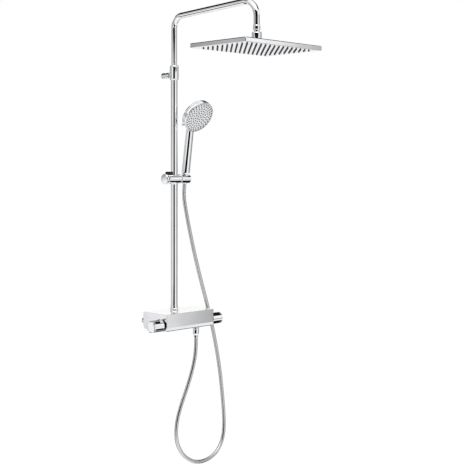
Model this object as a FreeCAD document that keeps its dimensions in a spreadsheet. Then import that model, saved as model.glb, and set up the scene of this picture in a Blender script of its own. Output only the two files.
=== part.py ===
"""Rainfall shower column: thermostatic shelf mixer, telescopic riser, overhead rain head and hand shower.

Millimetres, +Z up, front towards -Y. The origin lies on the wall, midway between the two water inlets.
"""
import FreeCAD, Part
import math
import os
import re

import Sketcher

Vector = FreeCAD.Vector
Rotation = FreeCAD.Rotation
Placement = FreeCAD.Placement

# alias, value, what it is
SIZES = [
    ("seat_gap", 0.2, "gap between pieces that are assembled once and stay put"),
    ("run_gap", 0.05, "radial clearance of a running fit"),
    ("free_gap", 0.4, "gap between curved faces that move past each other"),
    # mixer
    ("riser_off", 58, "wall to riser axis"),
    ("mixer_off", 118, "wall to mixer axis"),
    ("inlet_gap", 150, "distance between the two inlets"),
    ("shelf_wide", 220, "shelf, left to right"),
    ("shelf_back", 20, "wall to the shelf's rear edge"),
    ("shelf_front", 143, "wall to the shelf's front face"),
    ("shelf_top", 38, "shelf surface above the inlets"),
    ("shelf_base", 20, "underside below the inlets"),
    ("casing_wall", 2.5, "casing sheet"),
    ("front_round", 5, "rounding of the lower front edge"),
    ("rear_round", 14, "rounding of the lower rear edge"),
    ("tray_thick", 4, "shelf tray"),
    ("cap_thick", 3, "end cap"),
    ("body_out", 16.5, "valve body radius"),
    ("body_bore", 13.5, "cartridge bore radius"),
    ("body_half", 113, "half length of the valve body"),
    ("bore_deep", 58, "depth of a cartridge bore"),
    ("gallery_out", 8, "mixed water gallery radius"),
    ("boss_out", 13, "inlet boss radius, for a G3/4 nut"),
    ("boss_end", 46, "wall to the end of an inlet boss"),
    ("way_bore", 7, "water way radius"),
    ("branch_out", 11, "riser branch and spigot radius"),
    ("spigot_high", 14, "spigot above the shelf"),
    ("outlet_side", 48.5, "hose outlet, to the right of the middle"),
    ("outlet_out", 10, "hose outlet thread radius, G1/2"),
    ("outlet_drop", 27, "hose outlet end below the inlets"),
    ("casing_screw_out", 2, "casing screw radius, M4"),
    ("casing_screw_side", 30, "casing screws from the middle"),
    # inlets
    ("inlet_thread", 10.4, "wall thread radius, G1/2"),
    ("inlet_deep", 18, "wall thread length"),
    ("union_out", 12, "inlet union radius"),
    ("union_lip", 12.9, "inlet union flange radius"),
    ("union_lip_thick", 3, "inlet union flange"),
    ("nut_flats", 30, "union nut across flats"),
    ("nut_long", 19, "union nut length"),
    ("filter_thick", 2, "filter washer"),
    ("sleeve_wall_out", 14.8, "wall sleeve radius"),
    ("sleeve_wall_thick", 12, "wall sleeve"),
    # knobs
    ("knob_out", 20.5, "knob radius"),
    ("knob_wall", 2.7, "knob wall"),
    ("knob_near", 111, "middle to the knob's inner end"),
    ("knob_far", 161, "middle to the knob's outer end"),
    ("knob_cap_out", 18.4, "knob cap radius"),
    ("knob_cap_thick", 2.4, "knob cap"),
    ("hub_out", 8, "knob hub radius"),
    ("hub_long", 32, "knob hub length"),
    ("spindle_out", 5, "spindle radius"),
    ("spindle_deep", 14, "spindle inside the cartridge"),
    ("knob_screw_out", 2, "knob screw radius, M4"),
    ("knob_screw_head", 3.6, "knob screw head radius"),
    ("stop_thick", 4.5, "stop ring"),
    ("button_out", 4, "safety button radius"),
    ("button_proud", 1.7, "safety button above the knob"),
    ("button_high", 10, "safety button height"),
    ("button_lip", 5, "safety button foot radius"),
    ("button_far", 124, "middle to the safety button"),
    # riser
    ("riser_out", 12.7, "riser tube radius"),
    ("riser_bore", 11.5, "riser tube inner radius"),
    ("riser_top", 870, "riser tube's upper end"),
    ("base_out", 15.3, "base nut radius"),
    ("base_neck", 14, "base nut's neck radius"),
    ("base_high", 6, "base nut's flange"),
    ("base_neck_high", 10, "base nut's neck"),
    ("collar_low", 844, "bracket collar's lower end"),
    ("collar_high", 896, "bracket collar's upper end"),
    ("collar_out", 17, "bracket collar radius"),
    ("bush_wall", 1.8, "collar bush wall"),
    ("bush_high", 21, "collar bush height"),
    ("strut_level", 863, "wall strut's height"),
    ("strut_out", 10.5, "wall strut radius"),
    ("stub_out", 6.1, "wall stub radius"),
    ("stub_long", 18, "wall stub length"),
    ("stub_flange", 1.8, "wall stub flange"),
    ("stub_hole", 2.6, "wall stub hole radius"),
    ("stub_sink", 4.6, "radius of the sink for the screw head"),
    ("set_screw_out", 2.5, "collar set screw radius, M5"),
    ("set_screw_level", 880, "collar set screw's height"),
    # overhead arm
    ("pipe_out", 11, "overhead pipe radius"),
    ("pipe_bore", 9.8, "overhead pipe inner radius"),
    ("pipe_foot", 620, "overhead pipe's lower end, inside the riser"),
    ("guide_long", 18, "foot guide below the pipe"),
    ("guide_neck", 20, "foot guide inside the pipe"),
    ("arm_reach", 400, "riser axis to rain head axis"),
    ("arm_level", 1066.3, "arm's height at the riser axis"),
    ("arm_rise", 19, "arm's rise over its reach"),
    ("rear_bend", 40, "rear bend radius"),
    ("front_bend", 55, "front bend radius"),
    ("pipe_end", 984, "overhead pipe's front end"),
    ("ferrule_out", 13, "ferrule radius"),
    ("ferrule_high", 16, "ferrule height"),
    ("nipple_bore", 6, "nipple water way radius"),
    ("nipple_end", 971.6, "nipple's lower end"),
    ("ball_level", 959, "ball centre"),
    ("ball_out", 10, "ball radius"),
    ("ring_out", 12, "ball seat ring radius"),
    ("ring_half", 6, "ball seat ring half height"),
    ("ball_nut_out", 17.8, "ball nut radius"),
    ("ball_nut_low", 950, "ball nut's lower face"),
    ("ball_nut_top", 977.3, "ball nut's upper face"),
    ("stem_out", 4.5, "ball stem radius"),
    # rain head
    ("head_wide", 360, "rain head, left to right"),
    ("head_deep", 250, "rain head, front to back"),
    ("head_low", 921, "rain head's underside"),
    ("head_thick", 15.5, "rain head thickness"),
    ("head_wall", 2, "rain head shell"),
    ("face_thick", 2.5, "rain head face plate"),
    ("mat_thick", 2, "nozzle mat"),
    ("nozzle_pitch", 20.7, "nozzle rows, left to right"),
    ("nozzle_ribs", 15, "number of nozzle rows"),
    ("nozzle_inset", 24, "head's edge to the rows' ends"),
    ("nozzle_out", 1.6, "nozzle radius"),
    ("head_base_out", 24, "swivel base radius"),
    ("head_base_high", 4.5, "swivel base"),
    ("head_neck_out", 8, "swivel neck radius"),
    # slider and holder
    ("slider_level", 497.3, "slider's height"),
    ("slider_out", 16, "slider radius"),
    ("slider_left", 38, "slider body's left end"),
    ("slider_right", 19.7, "slider body's right end"),
    ("liner_wall", 0.9, "slider liner wall"),
    ("clamp_knob_out", 18.3, "clamp knob radius"),
    ("clamp_knob_far", 48, "clamp knob's outer end"),
    ("clamp_stud_out", 4, "clamp stud radius"),
    ("pad_out", 5.5, "clamp pad radius"),
    ("pad_thick", 3, "clamp pad"),
    ("washer_thick", 0.6, "friction washer"),
    ("sleeve_out", 14.6, "slider sleeve radius"),
    ("sleeve_low", 19.5, "slider sleeve below the slider axis"),
    ("release_near", 15.5, "release button's right side"),
    ("release_far", 37, "release button's left side"),
    ("release_deep", 8, "release button's half depth"),
    ("release_top", 26, "release button's top above the slider axis"),
    ("release_low", 11.5, "release button's foot above the slider axis"),
    ("holder_left", 20.5, "holder's left end"),
    ("holder_right", 64, "holder's right end"),
    ("axle_out", 5, "holder axle radius"),
    ("axle_left", 15, "holder axle's left end"),
    ("axle_right", 34, "holder axle's right end"),
    # hand shower
    ("handset_side", 48, "hand shower, to the right of the riser"),
    ("handset_ahead", 4.1, "hand shower axis in front of the slider axis"),
    ("handset_lean", 8.5, "lean of the handle, degrees"),
    ("cone_low_out", 9.6, "cone nut's lower radius"),
    ("cone_top_out", 11, "cone nut's upper radius"),
    ("cone_low", -16, "cone nut's lower end along the handle"),
    ("cone_top", 15.5, "cone nut's upper end along the handle"),
    ("hose_bore", 5.5, "cone nut's water way radius"),
    ("grip_start", 17, "grip's lower end along the handle"),
    ("grip_end", 205, "grip's upper end along the handle"),
    ("grip_low_out", 13, "grip radius at its lower end"),
    ("grip_top_out", 15, "grip radius at its upper end"),
    ("grip_wall", 2.5, "grip wall"),
    ("shank_out", 8, "handset thread radius"),
    ("face_ahead", 78, "face centre in front of the riser axis"),
    ("face_level", 712, "face centre's height"),
    ("face_turn", 56, "face axis from upright, degrees"),
    ("rim_out", 59.5, "hand shower rim radius"),
    ("rim_deep", 22, "rim depth behind the face"),
    ("dome_out", 38, "back plate radius"),
    ("dome_deep", 32, "hand shower depth behind the face"),
    ("dome_wall", 2.5, "hand shower shell"),
    ("lever_out", 60, "selector ring radius"),
    ("lever_in", 56, "selector ring inner radius"),
    ("lever_deep", 12.3, "selector ring depth"),
    ("lever_reach", 71, "selector tab's tip radius"),
    ("lever_turn", 150, "selector tab's place round the rim, degrees"),
    ("spray_out", 55.6, "spray face radius"),
    # hose
    ("hose_out", 7, "shower hose radius"),
    ("hose_nut_out", 11.5, "hose nut radius"),
    ("hose_nut_top", 22, "hose nut's upper end below the inlets"),
    ("hose_nut_end", 58, "hose nut's lower end below the inlets"),
]

# Centre line of the hose, from the mixer's outlet round the hanging loop to the hand shower.
HOSE_ROUTE = [
    (48.5, -118, -58.2), (48.5, -118, -95), (42, -118, -136), (27, -118, -182), (3, -118, -236),
    (-25, -119, -289), (-44, -119, -342), (-46, -118, -394), (-27, -116, -442), (11, -113, -479),
    (62, -110, -503), (124, -106, -502), (175, -102, -480), (205, -98, -434), (211, -94, -370),
    (206, -90, -288), (197, -86, -197), (184, -82, -117), (167, -77, -35), (146, -73, 44),
    (119, -69, 131), (93, -65, 222), (71, -61, 312), (55, -57, 391), (48, -53.67, 440.93),
    (48, -59.71, 481.33),
]
HOSE_SPLITS = [21, 22]  # the hose is parted in the middle of the runs that start at these points

doc = FreeCAD.newDocument("rain_shower_column")
sheet = doc.addObject("Spreadsheet::Sheet", "Sizes")
for row, (alias, value, note) in enumerate(SIZES, start=1):
    sheet.set(f"A{row}", note)
    sheet.set(f"B{row}", str(value))
    sheet.setAlias(f"B{row}", alias)
doc.recompute()

ALIASES = {alias for alias, _, _ in SIZES}
TURNS = {
    "X": Rotation(Vector(0, 1, 0), 90),
    "-X": Rotation(Vector(0, 1, 0), -90),
    "Y": Rotation(Vector(1, 0, 0), -90),
    "-Y": Rotation(Vector(1, 0, 0), 90),
    "Z": Rotation(),
    "-Z": Rotation(Vector(1, 0, 0), 180),
}
NODES = {}


def size(alias):
    """The value of one cell of the sheet."""
    return float(sheet.get(alias))


def formula(text):
    """An expression in bare aliases, pointed at the sheet."""
    return re.sub(r"[a-z_]+", lambda m: f"Sizes.{m[0]}" if m[0] in ALIASES else m[0], str(text))


def bind(obj, **cells):
    for name, text in cells.items():
        obj.setExpression(name, formula(text))
    return obj


def put(obj, at, turn=Rotation()):
    """Sets a place whose coordinates follow the sheet."""
    obj.Placement = Placement(Vector(), turn)
    for letter, text in zip("xyz", at):
        obj.setExpression(f"Placement.Base.{letter}", formula(text))
    return obj


def tilt(obj, at, degrees):
    """Turns a finished local shape about X and carries it to its place."""
    put(obj, at, Rotation(Vector(1, 0, 0), 1))
    obj.setExpression("Placement.Rotation.Angle", formula(degrees))
    return obj


def drum(axis, at, start, end, radius, end_radius=None):
    """A cylinder or cone along an axis, from start to end counted from the point at."""
    piece = doc.addObject("Part::Cone" if end_radius else "Part::Cylinder", "Drum")
    if end_radius:
        bind(piece, Radius1=radius, Radius2=end_radius)
    else:
        bind(piece, Radius=radius)
    bind(piece, Height=f"({end}) - ({start})")
    place = list(at)
    which = "XYZ".index(axis[-1])
    sign = "-" if axis[0] == "-" else "+"
    place[which] = f"({place[which]}) {sign} ({start})"
    return put(piece, place, TURNS[axis])


def block(low, high):
    """A box between two corners."""
    piece = doc.addObject("Part::Box", "Block")
    spans = [f"({b}) - ({a})" for a, b in zip(low, high)]
    bind(piece, Length=spans[0], Width=spans[1], Height=spans[2])
    return put(piece, low)


def hexagon(axis, at, start, end, flats):
    piece = doc.addObject("Part::Prism", "Hexagon")
    piece.Polygon = 6
    bind(piece, Circumradius=f"({flats}) / sqrt(3)", Height=f"({end}) - ({start})")
    place = list(at)
    which = "XYZ".index(axis[-1])
    sign = "-" if axis[0] == "-" else "+"
    place[which] = f"({place[which]}) {sign} ({start})"
    return put(piece, place, TURNS[axis])


def ball(at, radius):
    return put(bind(doc.addObject("Part::Sphere", "Ball"), Radius=radius), at)


def fuse(*shapes):
    if len(shapes) == 1:
        return shapes[0]
    joined = doc.addObject("Part::MultiFuse", "Joined")
    joined.Shapes = list(shapes)
    joined.Refine = True
    return joined


def cut(base, *tools):
    result = doc.addObject("Part::Cut", "Cut")
    result.Base = base
    result.Tool = fuse(*tools)
    return result


def common(first, second):
    shared = doc.addObject("Part::Common", "Shared")
    shared.Base = first
    shared.Tool = second
    return shared


def rounded(piece, corners):
    """Rounds the edges along X that pass through the given (y, z) corners."""
    doc.recompute()
    picked = []
    for number, edge in enumerate(piece.Shape.Edges, start=1):
        for y, z, radius in corners:
            if all(abs(v.Y - y) + abs(v.Z - z) < 0.01 for v in edge.Vertexes):
                picked.append((number, radius, radius))
    fillet = doc.addObject("Part::Fillet", "Rounded")
    fillet.Base = piece
    fillet.Edges = picked
    return fillet


def node(label, obj):
    """Names a finished sub-part: its label is its file's name."""
    obj.Label = label
    NODES[label] = obj
    return obj


def plane(body, role):
    return [f for f in body.Origin.OriginFeatures if f.Role == role][0]


def sketch_on(body, role, level):
    sketch = body.newObject("Sketcher::SketchObject", "Sketch")
    sketch.AttachmentSupport = [(plane(body, role), "")]
    sketch.MapMode = "FlatFace"
    sketch.setExpression("AttachmentOffset.Base.z", formula(level))
    return sketch


def draw_rectangle(sketch, low, high):
    """A rectangle whose two corners follow the sheet."""
    first = len(sketch.Geometry)
    corners = [(-1, -1), (1, -1), (1, 1), (-1, 1)]
    for here, there in zip(corners, corners[1:] + corners[:1]):
        sketch.addGeometry(Part.LineSegment(Vector(*here, 0), Vector(*there, 0)))
    for side in range(4):
        sketch.addConstraint(Sketcher.Constraint("Coincident", first + side, 2, first + (side + 1) % 4, 1))
    for side, kind in enumerate(("Horizontal", "Vertical", "Horizontal", "Vertical")):
        sketch.addConstraint(Sketcher.Constraint(kind, first + side))
    for side, corner, sign in ((0, low, -1), (2, high, 1)):
        for kind, text in zip(("DistanceX", "DistanceY"), corner):
            number = sketch.addConstraint(Sketcher.Constraint(kind, -1, 1, first + side, 1, sign))
            sketch.setExpression(f"Constraints[{number}]", formula(text))


def draw_circle(sketch, at, radius):
    """A circle whose place and radius follow the sheet."""
    ring = sketch.addGeometry(Part.Circle(Vector(1, 1, 0), Vector(0, 0, 1), 1))
    for kind, text in zip(("DistanceX", "DistanceY"), at):
        number = sketch.addConstraint(Sketcher.Constraint(kind, -1, 1, ring, 3, 1))
        sketch.setExpression(f"Constraints[{number}]", formula(text))
    number = sketch.addConstraint(Sketcher.Constraint("Radius", ring, 1))
    sketch.setExpression(f"Constraints[{number}]", formula(radius))


def pad(body, sketch, length):
    feature = body.newObject("PartDesign::Pad", "Pad")
    feature.Profile = sketch
    return bind(feature, Length=length)


def pocket(body, sketch, length):
    """Cuts along the sketch's own normal, and checks that something was cut."""
    doc.recompute()
    before = body.Shape.Volume
    feature = body.newObject("PartDesign::Pocket", "Pocket")
    feature.Profile = sketch
    feature.Reversed = True
    bind(feature, Length=length)
    doc.recompute()
    if body.Shape.Volume > before - 1:
        raise ValueError(f"{body.Name}: a pocket cuts nothing")
    return feature


def shelf_profile(x_low, x_high, inset, y_back):
    """The shelf's section between two places, shrunk by a wall."""
    low = (x_low, f"-(shelf_front) + {inset}", f"-(shelf_base) + {inset}")
    high = (x_high, y_back, f"shelf_top - {inset}")
    piece = block(low, high)
    wall = size("casing_wall") if inset != "0" else 0.0
    corners = [(-size("shelf_front") + wall, -size("shelf_base") + wall, size("front_round") - wall)]
    if inset == "0":
        corners.append((-size("shelf_back"), -size("shelf_base"), size("rear_round")))
    return rounded(piece, corners)


def build_shelf():
    """Casing, two end caps and the tray."""
    cap_at = "shelf_wide / 2 - cap_thick"
    riser = ("0", "-(riser_off)", "0")
    outlet = ("outlet_side", "-(mixer_off)", "0")
    shell = shelf_profile(f"-({cap_at})", cap_at, "0", "-(shelf_back)")
    hollow = shelf_profile("-(shelf_wide)", "shelf_wide", "casing_wall", "0")
    ceiling = "shelf_top - tray_thick - casing_wall"
    lid = block(("-(shelf_wide)", "-(shelf_front) + casing_wall", ceiling), ("shelf_wide", "0", "shelf_top"))
    recess = block(
        ("-(shelf_wide)", "-(shelf_front) + casing_wall", "shelf_top - tray_thick"),
        ("shelf_wide", "0", "shelf_top + tray_thick"),
    )
    screws = [
        drum("-Z", (f"{side} * casing_screw_side", "-(mixer_off)", "0"), "shelf_base - 2 * casing_wall",
             "shelf_base + casing_wall", "casing_screw_out + seat_gap")
        for side in (-1, 1)
    ]
    holes = [
        drum("Z", riser, "0", "shelf_top", "riser_out + free_gap"),
        drum("-Z", outlet, "0", "shelf_base + casing_wall", "outlet_out + free_gap"),
    ]
    casing = cut(shell, cut(hollow, lid), recess, *holes, *screws)
    node("shelf_casing", casing)
    tray = block(
        (f"-({cap_at}) + seat_gap", "-(shelf_front) + casing_wall + seat_gap", "shelf_top - tray_thick"),
        (f"{cap_at} - seat_gap", "-(shelf_back)", "shelf_top"),
    )
    node("shelf_tray", cut(tray, drum("Z", riser, "0", "2 * shelf_top", "riser_out + free_gap")))
    for side, label in ((-1, "left"), (1, "right")):
        ends = (f"{side} * ({cap_at})", f"{side} * shelf_wide / 2")
        plate = shelf_profile(*ends[::side], "0", "-(shelf_back)")
        hole = drum("X", ("-(shelf_wide)", "-(mixer_off)", "0"), "0", "2 * shelf_wide", "body_out + free_gap")
        node(f"end_cap_{label}", cut(plate, hole))
    screw_bodies = [
        drum("-Z", (f"{side} * casing_screw_side", "-(mixer_off)", "0"), "body_out - 6", "shelf_base",
             "casing_screw_out")
        for side in (-1, 1)
    ]
    node("casing_screws", fuse(*screw_bodies))


def build_valve():
    """Valve body with its two cartridges."""
    axis = ("0", "-(mixer_off)", "0")
    riser = ("0", "-(riser_off)", "0")
    outlet = ("outlet_side", "-(mixer_off)", "0")
    outer = [
        drum("X", axis, "-(body_half)", "body_half", "body_out"),
        drum("Y", axis, "0", "mixer_off - riser_off", "branch_out - 1"),
        drum("Z", riser, "-(branch_out) - 2", "shelf_top + spigot_high", "branch_out"),
        drum("-Z", outlet, "0", "outlet_drop", "outlet_out"),
    ]
    inner = [
        drum("X", axis, "-(body_half) - 1", "-(body_half) + bore_deep", "body_bore"),
        drum("X", axis, "body_half - bore_deep", "body_half + 1", "body_bore"),
        drum("X", axis, "-(body_half)", "body_half", "gallery_out"),
        drum("Y", axis, "0", "mixer_off - riser_off", "way_bore - 0.5"),
        drum("Z", riser, "-(way_bore) - 1", "shelf_top + spigot_high + 1", "way_bore"),
        drum("-Z", outlet, "0", "outlet_drop + 1", "nipple_bore"),
    ]
    for side in (-1, 1):
        inlet = (f"{side} * inlet_gap / 2", "-(mixer_off)", "0")
        outer.append(drum("Y", inlet, "0", "mixer_off - boss_end", "boss_out"))
        inner.append(drum("Y", inlet, "0", "mixer_off", "way_bore"))
        screw = (f"{side} * casing_screw_side", "-(mixer_off)", "0")
        inner.append(drum("-Z", screw, "body_out - 6 - seat_gap", "body_out + 1", "casing_screw_out + seat_gap"))
    node("valve_body", cut(fuse(*outer), *inner))
    rings = []
    for side, axis_name, label in ((-1, "-X", "thermostat_cartridge"), (1, "X", "diverter_cartridge")):
        core = drum(axis_name, axis, "body_half - bore_deep + seat_gap", "body_half - stop_thick",
                    "body_bore - seat_gap")
        socket = drum(axis_name, axis, "body_half - spindle_deep - 1", "body_half", "spindle_out + run_gap")
        port = drum("Y", (f"{side} * inlet_gap / 2", "-(mixer_off)", "0"), "0", "mixer_off", "way_bore - 1")
        node(label, cut(core, socket, port))
        ring = drum(axis_name, axis, "body_half - stop_thick + seat_gap", "body_half", "body_bore - seat_gap")
        rings.append(cut(ring, drum(axis_name, axis, "0", "knob_far", "spindle_out + 2 * free_gap")))
    node("stop_rings", fuse(*rings))


def build_inlets():
    """Wall unions, nuts, washers and sleeves on both sides."""
    unions, nuts, washers, sleeves = [], [], [], []
    for side in (-1, 1):
        at = (f"{side} * inlet_gap / 2", "0", "0")
        end = "boss_end - filter_thick"
        union = fuse(
            drum("Y", at, "-(boss_end) / 2", "inlet_deep", "inlet_thread"),
            drum("-Y", at, "0", end, "union_out"),
            drum("-Y", at, f"{end} - union_lip_thick", end, "union_lip"),
        )
        unions.append(cut(union, drum("Y", at, "-(boss_end)", "inlet_deep + 1", "way_bore")))
        washer = drum("-Y", at, end, "boss_end", "union_lip - seat_gap")
        washers.append(cut(washer, drum("-Y", at, "0", "mixer_off", "way_bore")))
        lip_back = f"{end} - union_lip_thick"
        nut = hexagon("-Y", at, f"{lip_back} - 4", f"{lip_back} - 4 + nut_long", "nut_flats")
        small = drum("-Y", at, "0", "mixer_off", "union_out + seat_gap")
        large = drum("-Y", at, f"{lip_back} - seat_gap", "mixer_off", "boss_out + seat_gap / 2")
        nuts.append(cut(nut, small, large))
        dome = drum("-Y", at, "0", "sleeve_wall_thick", "sleeve_wall_out", "sleeve_wall_out - 1")
        sleeves.append(cut(dome, drum("-Y", at, "-1", "mixer_off", "union_out + seat_gap")))
    node("wall_unions", fuse(*unions))
    node("wall_sleeves", fuse(*sleeves))
    node("filter_washers", fuse(*washers))
    node("union_nuts", fuse(*nuts))


def build_knob(axis_name, side, prefix, with_button):
    """One knob with its spindle, screw and cap; the temperature knob also has a safety button."""
    axis = ("0", "-(mixer_off)", "0")
    end_wall = "knob_far - knob_cap_thick - knob_wall"
    shell = drum(axis_name, axis, "knob_near", "knob_far", "knob_out")
    hollow = drum(axis_name, axis, "0", end_wall, "knob_out - knob_wall")
    hub = drum(axis_name, axis, f"{end_wall} - hub_long", "knob_far", "hub_out")
    dish = drum(axis_name, axis, "knob_far - knob_cap_thick", "knob_far + 1", "knob_cap_out + seat_gap")
    screw_hole = drum(axis_name, axis, "0", "knob_far", "knob_screw_out + seat_gap")
    head_hole = drum(axis_name, axis, f"{end_wall} - 6", "knob_far", "knob_screw_head + seat_gap")
    spindle_hole = drum(axis_name, axis, "0", f"{end_wall} - 10", "spindle_out + seat_gap / 2")
    tools = [dish, screw_hole, head_hole, spindle_hole]
    top = (f"{side} * button_far", "-(mixer_off)", "0")
    if with_button:
        tools.append(drum("Z", top, "hub_out + 1", "knob_out + 1", "button_out + run_gap"))
    node(f"{prefix}_knob", cut(fuse(cut(shell, hollow), hub), *tools))
    cap = drum(axis_name, axis, "knob_far - knob_cap_thick", "knob_far", "knob_cap_out")
    node(f"{prefix}_knob_cap", cap)
    spindle = drum(axis_name, axis, "body_half - spindle_deep", f"{end_wall} - 10 - seat_gap", "spindle_out")
    bore = drum(axis_name, axis, "knob_near", "knob_far", "knob_screw_out + seat_gap / 2")
    node(f"{prefix}_spindle", cut(spindle, bore))
    screw = fuse(
        drum(axis_name, axis, "knob_near + 10", f"{end_wall} - 6 + seat_gap", "knob_screw_out"),
        drum(axis_name, axis, f"{end_wall} - 6 + seat_gap", f"{end_wall} - 2", "knob_screw_head"),
    )
    node(f"{prefix}_knob_screw", screw)
    if with_button:
        tip = "knob_out + button_proud"
        foot = f"{tip} - button_high"
        button = fuse(
            drum("Z", top, foot, tip, "button_out"),
            drum("Z", top, foot, f"{foot} + 2", "button_lip"),
        )
        node("safety_button", button)
        spring = drum("Z", top, "hub_out + seat_gap / 2", f"{foot} - seat_gap / 2", "button_out - 0.5")
        node("button_spring", cut(spring, drum("Z", top, "0", "knob_out", "button_out - 1.4")))


def build_riser():
    """Riser tube, base nut, bracket collar and the wall fixing."""
    riser = ("0", "-(riser_off)", "0")
    tube = drum("Z", riser, "shelf_top + seat_gap", "riser_top", "riser_out")
    node("riser_tube", cut(tube, drum("Z", riser, "0", "riser_top + 1", "riser_bore")))
    nut = fuse(
        drum("Z", riser, "shelf_top + seat_gap", "shelf_top + base_high", "base_out"),
        drum("Z", riser, "shelf_top + base_high", "shelf_top + base_high + base_neck_high", "base_neck"),
    )
    node("riser_base_nut", cut(nut, drum("Z", riser, "0", "riser_top", "riser_out + seat_gap")))
    seal = drum("Z", riser, "shelf_top + 4", "shelf_top + 8", "riser_bore - run_gap")
    node("riser_seal", cut(seal, drum("Z", riser, "0", "riser_top", "branch_out + run_gap")))
    strut = drum("Y", riser, "0", "riser_off - stub_flange - seat_gap", "strut_out")
    strut = put(strut, ("0", "-(riser_off)", "strut_level"), TURNS["Y"])
    socket_at = ("0", "0", "strut_level")
    bush_bore = "pipe_out + bush_wall + seat_gap"
    collar = cut(
        fuse(drum("Z", riser, "collar_low", "collar_high", "collar_out"), strut),
        drum("Z", riser, "0", "riser_top + seat_gap", "riser_out + seat_gap / 2"),
        drum("Z", riser, "riser_top", "riser_top + bush_high + seat_gap", bush_bore),
        drum("Z", riser, "riser_top", "collar_high + 1", "pipe_out + free_gap"),
        drum("-Y", socket_at, "-1", "stub_long + 3", "stub_out + seat_gap / 2"),
        drum("X", ("0", "-(riser_off)", "set_screw_level"), "pipe_out", "collar_out + 1", "set_screw_out + seat_gap"),
    )
    node("bracket_collar", collar)
    bush = drum("Z", riser, "riser_top + seat_gap", "riser_top + bush_high", "pipe_out + bush_wall")
    node("collar_bush", cut(bush, drum("Z", riser, "0", "collar_high", "pipe_out + run_gap")))
    screw = drum("X", ("0", "-(riser_off)", "set_screw_level"), "pipe_out + bush_wall + seat_gap",
                 "collar_out - 1", "set_screw_out")
    node("collar_set_screw", screw)
    stub = fuse(
        drum("-Y", socket_at, "0", "stub_long", "stub_out"),
        drum("-Y", socket_at, "0", "stub_flange", "strut_out"),
    )
    hole = drum("-Y", socket_at, "-1", "stub_long + 1", "stub_hole")
    sink = drum("-Y", socket_at, "stub_long - 5", "stub_long + 1", "stub_sink")
    node("wall_stub", cut(stub, hole, sink))


def tangent_path(points, radii):
    """Straight runs joined by tangent arcs, as edges in order."""
    edges = []
    start = points[0]
    for before, corner, after, radius in zip(points, points[1:], points[2:], radii):
        back = (before - corner).normalize()
        ahead = (after - corner).normalize()
        half_turn = (math.pi - back.getAngle(ahead)) / 2
        reach = radius * math.tan(half_turn)
        first, last = corner + back * reach, corner + ahead * reach
        middle_way = (back + ahead).normalize()
        middle = corner + middle_way * (radius / math.cos(half_turn) - radius)
        edges.append(Part.LineSegment(start, first).toShape())
        edges.append(Part.Arc(first, middle, last).toShape())
        start = last
    edges.append(Part.LineSegment(start, points[-1]).toShape())
    return edges


def sweep_disc(edges, radius):
    """A round bar along a path, checked against its section times its length."""
    wire = Part.Wire(edges)
    start = edges[0].valueAt(edges[0].FirstParameter)
    way = edges[0].tangentAt(edges[0].FirstParameter)
    disc = Part.Wire([Part.Circle(start, way, radius).toShape()])
    bar = wire.makePipeShell([disc], True, False)
    expected = math.pi * radius**2 * wire.Length
    if abs(bar.Volume - expected) > 0.01 * expected:
        raise ValueError("a swept bar's volume doesn't fit its length")
    return bar


def feature(label, shape):
    """A sub-part whose shape is swept along a path."""
    obj = doc.addObject("Part::Feature", label)
    obj.Shape = shape
    return node(label, obj)


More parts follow.
